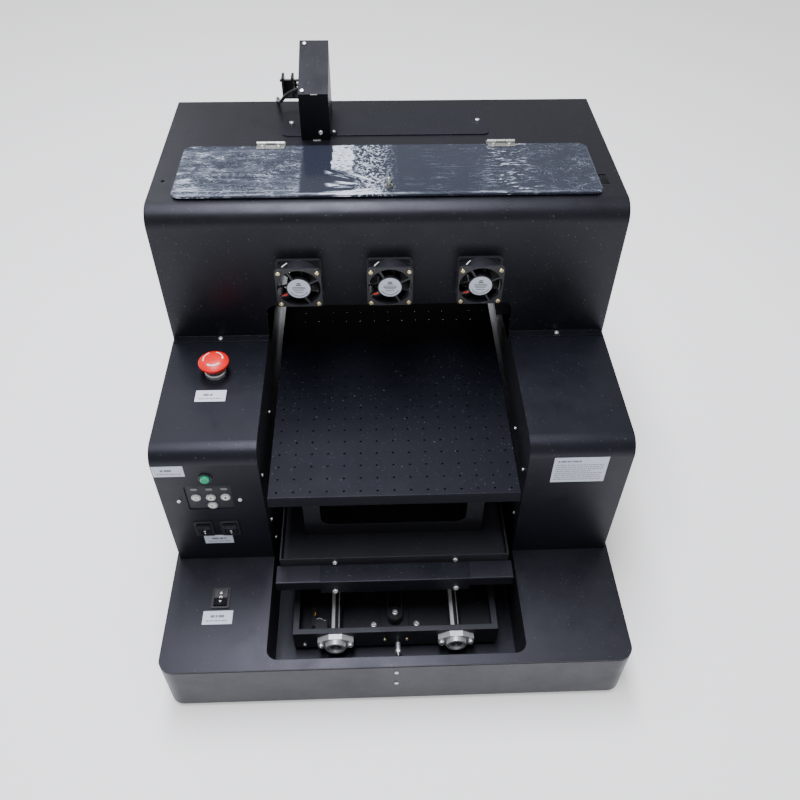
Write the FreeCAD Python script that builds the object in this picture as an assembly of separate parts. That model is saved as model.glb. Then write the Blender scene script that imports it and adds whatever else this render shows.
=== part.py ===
"""Desktop flatbed UV printer, modelled piece by piece.

Design frame: X to the right, Y from the front face of the base to the back,
Z up from the underside of the base.  Every shape is moved by ORIGIN_SHIFT when
it is saved, so the part's own origin is the centre of its footprint, on the
surface that its feet stand on.  Millimetres throughout.
"""
import FreeCAD, Part
import math
import os

V = FreeCAD.Vector
os.makedirs("parts", exist_ok=True)

# ---------------------------------------------------------------- main sizes
SHEET = 1.5
BASE_HALF_WIDTH = 310.0
BASE_DEPTH = 685.0
BASE_HEIGHT = 92.0
BASE_CORNER = 20.0
FOOT_HEIGHT = 10.0

SHELF_HALF_WIDTH = 305.0
SHELF_FRONT = 171.0
SHELF_TOP = 321.0
SHELF_BEND = 22.0

TOWER_HALF_WIDTH = 306.0
TOWER_FRONT = 389.0
TOWER_TOP = 526.0
TOWER_BEND = 24.0

TUNNEL_HALF_WIDTH = 171.0
TUNNEL_TOP = 375.0
TUNNEL_CORNER = 14.0

BAY_FRONT = 14.3
BAY_CORNER = 15.0
LINER_BACK = 680.0
LINER_BACK_TOP = 300.0
REAR_OPENING_TOP = 332.0

BED_WIDTH = 323.0
BED_LENGTH = 500.0
BED_FRONT = 147.0
BED_TOP = 260.0
BED_LIP = 17.5
HOLE_PITCH_X = 21.55
HOLE_PITCH_Y = 20.9
HOLE_COLUMNS = 15
HOLE_ROWS = 24
HOLE_RADIUS = 1.3

ROD_X = 84.5
ROD_Z = 31.0
ROD_RADIUS = 8.0
FRAME_HALF_WIDTH = 143.5
FRAME_FRONT = 72.0
FRAME_BACK = 652.0
FRAME_BOTTOM = 10.0
FRAME_TOP = 48.5

BELT_X = 9.5
BELT_Z = 20.0
BELT_HEIGHT = 9.0
PULLEY_RADIUS = 9.2
IDLER_Y = 110.0
DRIVE_Y = 600.0
IDLER_POST = 20.6

TRAY_FLOOR = 125.0
TRAY_HALF_WIDTH = 157.0
TRAY_FRONT = 134.0
TRAY_BACK = 560.0
TRAY_WALL = 16.0
LEDGE_FRONT = 107.0
LIFT_Y = 332.0
LIFT_SCREW_RADIUS = 4.0

FAN_SIZE = 60.0
FAN_DEPTH = 25.0
FAN_PITCH = 119.3
FAN_Z = 424.0
FAN_SCREW_PITCH = 50.0
DUCT_RADIUS = 28.5

LID_HALF_WIDTH = 275.0
LID_FRONT = 416.0
LID_BACK = 543.0
LID_THICKNESS = 3.0
LID_GAP = 1.5
LID_AXIS_Y = 546.0
LID_AXIS_Z = 532.6

RISER_LEFT = -117.5
RISER_RIGHT = -77.5
RISER_FRONT = 566.0
RISER_BACK = 660.0
RISER_FRONT_TOP = 592.0
RISER_BACK_TOP = 625.5

HOSE_RADIUS = 2.5
HOSE_REAR_Y = 703.0

RUNNING_CLEARANCE = 0.05
BASE_SCREW_HEAD = 1.8
REARMOST = HOSE_REAR_Y + HOSE_RADIUS
ORIGIN_SHIFT = V(0, -(REARMOST - BASE_SCREW_HEAD) / 2, FOOT_HEIGHT)

X_AXIS = V(1, 0, 0)
Y_AXIS = V(0, 1, 0)
Z_AXIS = V(0, 0, 1)


# ---------------------------------------------------------------- helpers
def box(x0, x1, y0, y1, z0, z1):
    return Part.makeBox(x1 - x0, y1 - y0, z1 - z0, V(x0, y0, z0))


def cylinder(x, y, z, radius, length, axis=Z_AXIS):
    return Part.makeCylinder(radius, length, V(x, y, z), axis)


def join(shapes):
    whole = shapes[0]
    if len(shapes) > 1:
        whole = whole.fuse(shapes[1:])
    return whole.removeSplitter()


def rounded(shape, radius, direction, keep=lambda point: True):
    """Round the straight edges of a shape that run along a direction."""
    edges = []
    for edge in shape.Edges:
        if edge.Curve.TypeId != "Part::GeomLine":
            continue
        along = edge.tangentAt(edge.FirstParameter)
        if abs(along.dot(direction)) > 0.999 and keep(edge.CenterOfMass):
            edges.append(edge)
    return shape.makeFillet(radius, edges)


def prism(points, direction):
    """Extrude a closed outline, given as a list of vectors."""
    wire = Part.makePolygon(points + [points[0]])
    return Part.Face(wire).extrude(direction)


def yz_prism(outline, x0, x1):
    return prism([V(x0, y, z) for y, z in outline], V(x1 - x0, 0, 0))


def xz_prism(outline, y0, y1):
    return prism([V(x, y0, z) for x, z in outline], V(0, y1 - y0, 0))


def mirrored(shape):
    return shape.mirror(V(0, 0, 0), X_AXIS)


def pair(shape):
    return [shape, mirrored(shape)]


def turned(shape, centre, axis, degrees):
    copy = shape.copy()
    copy.rotate(centre, axis, degrees)
    return copy


def pan_screw(position, direction, radius=3.2, height=2.2, shank=3.0):
    """A cross-recessed pan head with a short shank behind its seat."""
    head = cylinder(0, 0, 0, radius, height)
    top_edges = [e for e in head.Edges if e.CenterOfMass.z > height - 0.01]
    head = head.makeFillet(height * 0.55, top_edges)
    slot_width = radius * 0.28
    slot_length = radius * 1.1
    depth = height * 0.5
    slot = box(-slot_length / 2, slot_length / 2, -slot_width / 2, slot_width / 2,
               height - depth, height + 1)
    head = head.cut([slot, turned(slot, V(0, 0, 0), Z_AXIS, 90)])
    if shank:
        head = head.fuse(cylinder(0, 0, -shank, radius * 0.45, shank))
    head.Placement = FreeCAD.Placement(position, FreeCAD.Rotation(Z_AXIS, direction))
    return head


def hex_bolt(position, direction, across, height):
    """A plain hexagon head or nut."""
    corner = across / math.sqrt(3)
    angles = [math.radians(60 * k) for k in range(6)]
    head = prism([V(corner * math.cos(a), corner * math.sin(a), 0) for a in angles], V(0, 0, height))
    head.Placement = FreeCAD.Placement(position, FreeCAD.Rotation(Z_AXIS, direction))
    return head


def save(name, shapes):
    """Write one node: one solid, or a group of separate identical solids."""
    shapes = shapes if isinstance(shapes, list) else [shapes]
    solids = [solid for shape in shapes for solid in shape.Solids]
    for solid in solids:
        assert solid.isValid() and solid.Volume > 0, name
    node = solids[0] if len(solids) == 1 else Part.makeCompound(solids)
    node = node.copy()
    node.translate(ORIGIN_SHIFT)
    node.exportStep("parts/" + name + ".step")


# ---------------------------------------------------------------- base
def base_outline(inset, z0, z1):
    half = BASE_HALF_WIDTH - inset
    block = box(-half, half, inset, BASE_DEPTH - inset, z0, z1)
    return rounded(block, BASE_CORNER - inset, Z_AXIS)


def make_base():
    wall_top = BASE_HEIGHT - 2 * SHEET
    pan = base_outline(0, 0, wall_top).cut(base_outline(SHEET, SHEET, wall_top + 1))
    front_holes = [cylinder(-1.5, -1, z, 1.2, SHEET + 2, Y_AXIS) for z in (45.3, 75.5)]
    save("base_pan", pan.cut(front_holes))

    cover = base_outline(0, BASE_HEIGHT - SHEET, BASE_HEIGHT)
    flange = base_outline(SHEET + 0.3, BASE_HEIGHT - 12, BASE_HEIGHT - SHEET)
    flange = flange.cut(base_outline(2 * SHEET + 0.3, BASE_HEIGHT - 13, BASE_HEIGHT))
    cut_half = TUNNEL_HALF_WIDTH
    bay = box(-cut_half, cut_half, BAY_FRONT, BASE_DEPTH - 30, BASE_HEIGHT - 20, BASE_HEIGHT + 1)
    bay = rounded(bay, BAY_CORNER, Z_AXIS, lambda p: p.y < 100)
    w, h = ROCKER_SIZE
    rocker_hole = box(-w / 2, w / 2, -h / 2, h / 2, -5, 1)
    rocker_hole.translate(BASE_ROCKER)
    liner_slot = box(cut_half, cut_half + SHEET, SHELF_FRONT + SHEET, LINER_BACK,
                     BASE_HEIGHT - 12, BASE_HEIGHT + 1)
    save("base_top_cover", join([cover, flange]).cut([bay, rocker_hole] + pair(liner_slot)))

    feet = []
    for y in (60, BASE_DEPTH - 60):
        foot = Part.makeCone(16, 13.5, FOOT_HEIGHT, V(265, y, 0), V(0, 0, -1))
        feet += pair(foot)
    save("rubber_feet", feet)


def make_bay_liner():
    """Inner side plates and the front wall of the bay, one folded sheet."""
    half = TUNNEL_HALF_WIDTH
    floor = SHEET
    low_top = BASE_HEIGHT - SHEET
    inner = box(-half, half, BAY_FRONT, BASE_DEPTH, floor, low_top)
    inner = rounded(inner, BAY_CORNER, Z_AXIS, lambda p: p.y < 100)
    outer = box(-half - SHEET, half + SHEET, BAY_FRONT - SHEET, LINER_BACK, floor, low_top)
    outer = rounded(outer, BAY_CORNER + SHEET, Z_AXIS, lambda p: p.y < 100)
    lower = outer.cut(inner)
    plate = box(-half - SHEET, -half, SHELF_FRONT + SHEET, LINER_BACK, floor, SHELF_TOP - SHEET)
    plate = rounded(plate, SHELF_BEND - SHEET, X_AXIS, lambda p: p.y < TOWER_FRONT and p.z > LINER_BACK_TOP)
    plate = plate.cut(box(-half - 5, 0, TOWER_FRONT, BASE_DEPTH, LINER_BACK_TOP, SHELF_TOP))
    save("bay_liner", join([lower] + pair(plate)))


# ---------------------------------------------------------------- casings
def shelf_shell():
    """Left-hand side box: front, top and outer side in one folded sheet."""
    x0 = -SHELF_HALF_WIDTH
    x1 = -TUNNEL_HALF_WIDTH
    outer = box(x0, x1, SHELF_FRONT, TOWER_FRONT - 0.2, BASE_HEIGHT, SHELF_TOP)
    outer = rounded(outer, SHELF_BEND, X_AXIS, lambda p: p.y < SHELF_FRONT + 1 and p.z > SHELF_TOP - 1)
    inner = box(x0 + SHEET, x1 + 5, SHELF_FRONT + SHEET, TOWER_FRONT + 5,
                BASE_HEIGHT - 5, SHELF_TOP - SHEET)
    inner = rounded(
        inner, SHELF_BEND - SHEET, X_AXIS,
        lambda p: p.y < SHELF_FRONT + SHEET + 1 and p.z > SHELF_TOP - SHEET - 1)
    return outer.cut(inner)


ESTOP = V(-237, 315, SHELF_TOP)
START_BUTTON = V(-240, SHELF_FRONT, 275.4)
KEYS = [(-258.8, 233.2), (-239.6, 233.2), (-220.4, 233.2), (-239.6, 216.4)]
KEY_RADIUS = 6.4
WINDOW = (-270.8, -211.8, 209.0, 258.0)
ROCKER_SIZE = (21.4, 28.7)
FRONT_ROCKERS = [V(-258.6, SHELF_FRONT, 166.5), V(-223.1, SHELF_FRONT, 166.5)]
BASE_ROCKER = V(-239.6, 105.85, BASE_HEIGHT)


def make_side_boxes():
    left = shelf_shell()
    window = box(WINDOW[0], WINDOW[1], SHELF_FRONT - 1, SHELF_FRONT + 5, WINDOW[2], WINDOW[3])
    window = rounded(window, 3, Y_AXIS)
    cuts = [window, cylinder(ESTOP.x, ESTOP.y, SHELF_TOP - 5, 11.2, 10)]
    cuts.append(cylinder(START_BUTTON.x, SHELF_FRONT - 1, START_BUTTON.z, 7.2, 5, Y_AXIS))
    for centre in FRONT_ROCKERS:
        w, h = ROCKER_SIZE
        cuts.append(box(centre.x - w / 2, centre.x + w / 2, SHELF_FRONT - 1, SHELF_FRONT + 5,
                        centre.z - h / 2, centre.z + h / 2))
    save("side_box_left", left.cut(cuts))
    save("side_box_right", mirrored(shelf_shell()))


def make_tower():
    half = TOWER_HALF_WIDTH
    back = BASE_DEPTH - SHEET
    outer = box(-half, half, TOWER_FRONT, back, BASE_HEIGHT, TOWER_TOP)
    outer = rounded(outer, TOWER_BEND, X_AXIS, lambda p: p.y < TOWER_FRONT + 1 and p.z > TOWER_TOP - 1)
    inner = box(-half + SHEET, half - SHEET, TOWER_FRONT + SHEET, back + 5,
                BASE_HEIGHT - 5, TOWER_TOP - SHEET)
    inner = rounded(
        inner, TOWER_BEND - SHEET, X_AXIS,
        lambda p: p.y < TOWER_FRONT + SHEET + 1 and p.z > TOWER_TOP - SHEET - 1)
    shell = outer.cut(inner)
    below_shelf = box(-half + SHEET, half - SHEET, TOWER_FRONT - 1, TOWER_FRONT + 3,
                      BASE_HEIGHT - 1, SHELF_TOP)
    mouth = box(-TUNNEL_HALF_WIDTH + 1, TUNNEL_HALF_WIDTH - 1, TOWER_FRONT - 1, TOWER_FRONT + 3,
                SHELF_TOP - 1, TUNNEL_TOP)
    mouth = rounded(mouth, TUNNEL_CORNER, Y_AXIS, lambda p: p.z > TUNNEL_TOP - 1)
    deck_z = TOWER_TOP - 5
    hatch = box(-262, 262, 428, 533, deck_z, TOWER_TOP + 1)
    hatch = rounded(hatch, 10, Z_AXIS)
    sensor_hole = cylinder(-292, 462, deck_z, 2.5, 10)
    side_slot = box(276, 288.5, 443, 467, deck_z, TOWER_TOP + 1)
    tube_slot = box(-70, 120, 592, 640, deck_z, TOWER_TOP + 1)
    ducts = [cylinder(k * FAN_PITCH, TOWER_FRONT - 1, FAN_Z, DUCT_RADIUS, 5, Y_AXIS) for k in (-1, 0, 1)]
    shell = shell.cut([below_shelf, mouth, hatch, sensor_hole, side_slot, tube_slot] + ducts)
    flange = box(TUNNEL_HALF_WIDTH, half - 2, TOWER_FRONT - 12, TOWER_FRONT + SHEET / 2,
                 SHELF_TOP, SHELF_TOP + SHEET)
    side = shell.common(box(-half - 1, -half + SHEET, TOWER_FRONT - 1, BASE_DEPTH, 0, TOWER_TOP + 1))
    wrap = shell.cut(pair(box(half - SHEET, half + 1, TOWER_FRONT - 1, BASE_DEPTH, 0, TOWER_TOP + 1)))
    save("tower_cover", [join([wrap] + pair(flange)), side, mirrored(side)])

    panel = box(-half, half, back, BASE_DEPTH, BASE_HEIGHT, TOWER_TOP)
    opening = box(-TUNNEL_HALF_WIDTH, TUNNEL_HALF_WIDTH, back - 1, BASE_DEPTH + 1,
                  BASE_HEIGHT - 1, REAR_OPENING_TOP)
    opening = rounded(opening, TUNNEL_CORNER, Y_AXIS, lambda p: p.z > REAR_OPENING_TOP - 1)
    cuts = [opening, box(228, 276, back - 1, BASE_DEPTH + 1, 121, 149)]
    cuts.append(cylinder(HOSE_ENTRY.x, back - 1, HOSE_ENTRY.z, 6, 5, Y_AXIS))
    for side in (-1, 1):
        for row in range(6):
            slot = box(side * 238 - 34, side * 238 + 34, back - 1, BASE_DEPTH + 1,
                       380 + 12 * row, 384 + 12 * row)
            cuts.append(slot)
    save("rear_panel", panel.cut(cuts))


# ---------------------------------------------------------------- riser
SLOT_PLATE_TOP = TOWER_TOP + SHEET
HOSE_PORT = V(RISER_LEFT, 619, 575)
HOSE_ROUTE = [
    V(-121.5, 619, 575), V(-133.5, 621.5, 569.5), V(-142.5, 628, 559.5), V(-148.3, 639, 548.5),
    V(-152, 653, 540.5), V(-155.5, 668, 535), V(-158.5, 683.5, 532), V(-160.8, 697, 521.5),
    V(-162, HOSE_REAR_Y, 504), V(-162, HOSE_REAR_Y, 492), V(-162, 698.7, 480.3), V(-162, 687, 468),
]
HOSE_ENTRY = V(-162, BASE_DEPTH, 466.5)


def riser_outline(inset, bottom):
    return [
        (RISER_FRONT + inset, bottom), (RISER_FRONT + inset, RISER_FRONT_TOP - inset),
        (RISER_BACK - inset, RISER_BACK_TOP - inset * 1.4), (RISER_BACK - inset, bottom),
    ]


def make_riser():
    plate = box(-146, 146, 577, 654, TOWER_TOP, SLOT_PLATE_TOP)
    save("slot_cover_plate", rounded(plate, 8, Z_AXIS))

    shell = yz_prism(riser_outline(0, SLOT_PLATE_TOP), RISER_LEFT, RISER_RIGHT)
    hollow = riser_outline(SHEET, SLOT_PLATE_TOP - 5)
    shell = shell.cut(yz_prism(hollow, RISER_LEFT + SHEET, RISER_RIGHT - SHEET))
    front_foot = box(RISER_LEFT, RISER_RIGHT, RISER_FRONT, 576.5, TOWER_TOP, SLOT_PLATE_TOP + 1)
    front_foot = front_foot.cut(box(RISER_LEFT + SHEET, RISER_RIGHT - SHEET, RISER_FRONT + SHEET, 577,
                                    SLOT_PLATE_TOP, SLOT_PLATE_TOP + 1))
    side_foot = box(RISER_RIGHT - SHEET, RISER_RIGHT + 9, 577.5, 590,
                    SLOT_PLATE_TOP, SLOT_PLATE_TOP + SHEET)
    side_foot = rounded(side_foot, 3, Z_AXIS, lambda p: p.x > RISER_RIGHT)
    save("riser_box", join([shell, front_foot, side_foot]))

    fork_floor = box(-146, RISER_LEFT, 640, 658, 551, 554)
    fork_plate = box(-146, -126, 655, 658, 551, 572)
    prongs = [box(-146, -142.5, 640, 658, 551, 581), box(-132.5, -129, 640, 658, 551, 581)]
    port = cylinder(HOSE_PORT.x, HOSE_PORT.y, HOSE_PORT.z, 4, HOSE_PORT.x - HOSE_ROUTE[0].x,
                    V(-1, 0, 0))
    hole = cylinder(-150, 649, 574, 2.0, 25, X_AXIS)
    fork = join([fork_floor, fork_plate] + prongs).cut(hole)
    rod = cylinder(-149, 649, 574, 2.0, 149 + RISER_LEFT, X_AXIS)
    save("riser_fork", [fork, port, rod])


def hose_path(points):
    """Straight runs joined by the largest tangent arcs that the runs allow."""
    edges = []
    start = points[0]
    for before, corner, after in zip(points, points[1:], points[2:]):
        towards = (corner - before).normalize()
        away = (after - corner).normalize()
        turn = towards.getAngle(away)
        shorter = min((corner - before).Length, (after - corner).Length)
        cut_back = 0.45 * shorter
        radius = cut_back / math.tan(turn / 2)
        print("hose bend radius", round(radius, 1))
        first = corner - towards * cut_back
        last = corner + away * cut_back
        bisector = (away - towards).normalize()
        centre = corner + bisector * (radius / math.cos(turn / 2))
        middle = centre - bisector * radius
        edges.append(Part.LineSegment(start, first).toShape())
        edges.append(Part.Arc(first, middle, last).toShape())
        start = last
    edges.append(Part.LineSegment(start, points[-1]).toShape())
    return Part.Wire(edges)


def make_hose():
    path = hose_path(HOSE_ROUTE)
    direction = (HOSE_ROUTE[1] - HOSE_ROUTE[0]).normalize()
    section = Part.Wire(Part.Circle(HOSE_ROUTE[0], direction, HOSE_RADIUS).toShape())
    hose = path.makePipeShell([section], True, False, 2)
    expected = math.pi * HOSE_RADIUS ** 2 * path.Length
    print("hose length", round(path.Length, 1), "volume ratio", round(hose.Volume / expected, 4))
    save("ink_hose", hose)
    ring = cylinder(HOSE_ENTRY.x, BASE_DEPTH, HOSE_ENTRY.z, 9, 3, Y_AXIS)
    neck = cylinder(HOSE_ENTRY.x, BASE_DEPTH - SHEET - 3, HOSE_ENTRY.z, 5.8, 5, Y_AXIS)
    inside = cylinder(HOSE_ENTRY.x, BASE_DEPTH - SHEET - 6, HOSE_ENTRY.z, 3.4, 20, Y_AXIS)
    grommet = join([ring, neck]).cut(inside)

    flange = rounded(box(222, 282, BASE_DEPTH, BASE_DEPTH + 2.5, 116, 154), 4, Y_AXIS)
    body = box(228.2, 275.8, BASE_DEPTH - 24, BASE_DEPTH + 1, 121.2, 148.8)
    socket = rounded(box(233, 257, BASE_DEPTH - 18, BASE_DEPTH + 5, 127, 143), 2, Y_AXIS)
    switch_well = box(260, 273, BASE_DEPTH - 8, BASE_DEPTH + 5, 125, 145)
    inlet = join([flange, body]).cut([socket, switch_well])
    pins = [box(x - 1, x + 1, BASE_DEPTH - 20, BASE_DEPTH - 4, z - 2.5, z + 2.5)
            for x, z in ((239, 133), (245, 137), (251, 133))]
    rocker = rounded(box(260.4, 272.6, BASE_DEPTH - 8.5, BASE_DEPTH + 2, 125.4, 144.6), 1.5, Y_AXIS)
    save("rear_fittings", [grommet, join([inlet, rocker] + pins)])


# ---------------------------------------------------------------- controls
def bezel(centre, w, h, axis):
    """Frame of a rocker switch; opens upward along its local Z."""
    rim = rounded(box(-w / 2 - 1.6, w / 2 + 1.6, -h / 2 - 1.4, h / 2 + 1.4, 0, 2), 1.2, Z_AXIS)
    body = box(-w / 2 + 0.2, w / 2 - 0.2, -h / 2 + 0.2, h / 2 - 0.2, -17, 0.5)
    well = box(-w / 2 + 1.6, w / 2 - 1.6, -h / 2 + 1.6, h / 2 - 1.6, -12, 3)
    frame = join([rim, body]).cut(well)
    frame.Placement = FreeCAD.Placement(centre, axis)
    return frame


def rocker(centre, w, h, axis, tilt):
    """Rocker cap: two shallow facets over a round back, tipped about its own X."""
    half = h / 2 - 2.4
    outline = [(-half, 4.4), (0, 2.4), (half, 4.4), (half - 1.2, -2), (0, -7), (1.2 - half, -2)]
    cap = yz_prism(outline, 2 - w / 2, w / 2 - 2)
    cap.rotate(V(0, 0, 0), X_AXIS, tilt)
    cap.Placement = FreeCAD.Placement(centre, axis).multiply(cap.Placement)
    return cap


FACING_FRONT = FreeCAD.Rotation(X_AXIS, 90)
FACING_UP = FreeCAD.Rotation()
ROCKER_TILT = 8.0


def make_controls():
    w, h = ROCKER_SIZE
    start_ring = cylinder(START_BUTTON.x, SHELF_FRONT, START_BUTTON.z, 8.8, 2, V(0, -1, 0))
    start_body = cylinder(START_BUTTON.x, SHELF_FRONT + 16, START_BUTTON.z, 7.1, 17, V(0, -1, 0))
    start_bore = cylinder(START_BUTTON.x, SHELF_FRONT + 13, START_BUTTON.z, 6.35, 20, V(0, -1, 0))
    bezels = [bezel(centre, w, h, FACING_FRONT) for centre in FRONT_ROCKERS]
    bezels.append(bezel(BASE_ROCKER, w, h, FACING_UP))
    bezels.append(join([start_ring, start_body]).cut(start_bore))
    save("switch_bezels", bezels)
    for name, centre in zip(("rocker_left", "rocker_right"), FRONT_ROCKERS):
        save(name, rocker(centre, w, h, FACING_FRONT, ROCKER_TILT))
    save("rocker_base", rocker(BASE_ROCKER, w, h, FACING_UP, 0))

    start = cylinder(START_BUTTON.x, SHELF_FRONT + 8, START_BUTTON.z, 6.1, 13.5, V(0, -1, 0))
    start = start.makeFillet(1.6, [e for e in start.Edges if e.CenterOfMass.y < SHELF_FRONT - 5])
    save("start_button", start)

    board_front = SHELF_FRONT + SHEET
    board = box(-287, -196, board_front, board_front + 1.5, WINDOW[2] - 4, WINDOW[3] + 4)
    key_holes = [cylinder(x, SHELF_FRONT, z, KEY_RADIUS + 0.3, 10, Y_AXIS) for x, z in KEYS]
    save("keypad_plate", board.cut(key_holes))
    for index, (x, z) in enumerate(KEYS, 1):
        cap = cylinder(x, SHELF_FRONT + 6, z, KEY_RADIUS, 6.2, V(0, -1, 0))
        cap = cap.makeFillet(1.0, [e for e in cap.Edges if e.CenterOfMass.y < SHELF_FRONT + 2])
        save("key_%d" % index, cap)
    lenses = []
    for x in (-259.0, -239.6, -220.2):
        lens = box(x - 4.5, x + 4.5, SHELF_FRONT + 0.7, SHELF_FRONT + 1.5, 248.4, 252.9)
        lenses.append(rounded(lens, 2.2, Y_AXIS))
    save("indicator_lenses", lenses)

    collar = cylinder(ESTOP.x, ESTOP.y, SHELF_TOP, 14.2, 6)
    collar = collar.makeChamfer(1.2, [e for e in collar.Edges if e.CenterOfMass.z > SHELF_TOP + 5])
    body = cylinder(ESTOP.x, ESTOP.y, SHELF_TOP - 38, 11, 39)
    block = box(ESTOP.x - 14, ESTOP.x + 14, ESTOP.y - 20, ESTOP.y + 20,
                SHELF_TOP - 58, SHELF_TOP - 38)
    bore = cylinder(ESTOP.x, ESTOP.y, SHELF_TOP - 30, 5 + RUNNING_CLEARANCE, 50)
    save("estop_collar", join([collar, body, block]).cut(bore))
    stem = cylinder(ESTOP.x, ESTOP.y, SHELF_TOP - 20, 5, 42)
    save("estop_stem", stem.fuse(cylinder(ESTOP.x, ESTOP.y, SHELF_TOP + 12, 9, 2)).removeSplitter())
    # mushroom head, turned profile
    rim = SHELF_TOP + 22.5
    head_outline = [V(0, 0, rim + 5.5), V(11, 0, rim + 5), V(17.5, 0, rim + 3), V(20.3, 0, rim - 0.5),
                    V(20.3, 0, rim - 3), V(18, 0, rim - 5), V(13, 0, rim - 8.2), V(0, 0, rim - 8.2)]
    profile = Part.Face(Part.makePolygon(head_outline + [head_outline[0]]))
    head = profile.revolve(V(0, 0, 0), Z_AXIS, 360)
    head.translate(V(ESTOP.x, ESTOP.y, 0))
    socket = cylinder(ESTOP.x, ESTOP.y, SHELF_TOP + 10, 5 + RUNNING_CLEARANCE, 12 + RUNNING_CLEARANCE)
    save("estop_head", head.cut(socket))


def make_labels():
    """Plain stickers; the fan hubs carry round ones."""
    t = 0.3
    labels = [
        box(-258.6, -218.6, 261.5, 282, SHELF_TOP, SHELF_TOP + t),
        box(-304, -264.5, SHELF_FRONT - t, SHELF_FRONT, 279.5, 299.5),
        box(-262.6, -223.3, SHELF_FRONT - t, SHELF_FRONT, 130.5, 149.3),
        box(-260.9, -220.9, 67, 87, BASE_HEIGHT, BASE_HEIGHT + t),
        box(203.5, 273.7, SHELF_FRONT - t, SHELF_FRONT, 250.6, 299.5),
    ]
    front = TOWER_FRONT - FAN_DEPTH
    labels += [cylinder(k * FAN_PITCH, front - t, FAN_Z, 15, t, Y_AXIS) for k in (-1, 0, 1)]
    save("labels", labels)


# ---------------------------------------------------------------- fans
def fan_frame(x):
    half = FAN_SIZE / 2
    front = TOWER_FRONT - FAN_DEPTH
    body = box(x - half, x + half, front, TOWER_FRONT, FAN_Z - half, FAN_Z + half)
    body = rounded(body, 4, Y_AXIS)
    body = body.cut(cylinder(x, front - 1, FAN_Z, DUCT_RADIUS, FAN_DEPTH + 2, Y_AXIS))
    # the four sides are recessed between the two flanges, outside the duct wall
    waist = box(x - half - 1, x + half + 1, front + 4, TOWER_FRONT - 4, FAN_Z - half - 1, FAN_Z + half + 1)
    waist = waist.cut(cylinder(x, front, FAN_Z, DUCT_RADIUS + 1.2, FAN_DEPTH, Y_AXIS))
    body = body.cut(waist)
    hub = cylinder(x, front, FAN_Z, 16.2, 3.2, Y_AXIS)
    spoke = box(x - 1.4, x + 1.4, front, front + 3, FAN_Z + 14, FAN_Z + DUCT_RADIUS + 0.6)
    spokes = [turned(spoke, V(x, 0, FAN_Z), Y_AXIS, angle) for angle in (62, 152, 242, 332)]
    pivot = cylinder(x, front + 3, FAN_Z, 2, 12, Y_AXIS)
    body = join([body, hub, pivot] + spokes)
    offset = FAN_SCREW_PITCH / 2
    holes = [cylinder(x + sx * offset, front - 1, FAN_Z + sz * offset, 1.4, FAN_DEPTH + 2, Y_AXIS)
             for sx in (-1, 1) for sz in (-1, 1)]
    return body.cut(holes)


def fan_rotor(x):
    front = TOWER_FRONT - FAN_DEPTH
    hub = cylinder(x, front + 4, FAN_Z, 16.0, 18, Y_AXIS)
    blade = box(-0.7, 0.7, -8.5, 8.5, 14, 30)
    blade.rotate(V(0, 0, 0), Z_AXIS, 42)
    blade.translate(V(x, front + 13, FAN_Z))
    blades = [turned(blade, V(x, 0, FAN_Z), Y_AXIS, 360 / 7 * k) for k in range(7)]
    whole = hub.fuse(blades)
    whole = whole.common(cylinder(x, front + 4, FAN_Z, DUCT_RADIUS - 1.0, 19, Y_AXIS))
    bore = cylinder(x, front + 3, FAN_Z, 2 + RUNNING_CLEARANCE, 13, Y_AXIS)
    return whole.cut(bore).removeSplitter()


def make_fans():
    save("fan_frames", [fan_frame(k * FAN_PITCH) for k in (-1, 0, 1)])
    for name, k in (("left", -1), ("middle", 0), ("right", 1)):
        save("fan_rotor_" + name, fan_rotor(k * FAN_PITCH))


# ---------------------------------------------------------------- lid
HINGE_X = 158.0
HINGE_HALF = 19.0


def hinge_knuckles(x, spans, pin_hole):
    parts = []
    for a, b in spans:
        knuckle = cylinder(x + a, LID_AXIS_Y, LID_AXIS_Z, 2.6, b - a, X_AXIS)
        parts.append(knuckle.cut(cylinder(x + a - 1, LID_AXIS_Y, LID_AXIS_Z, pin_hole, b - a + 2, X_AXIS)))
    return parts


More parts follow.
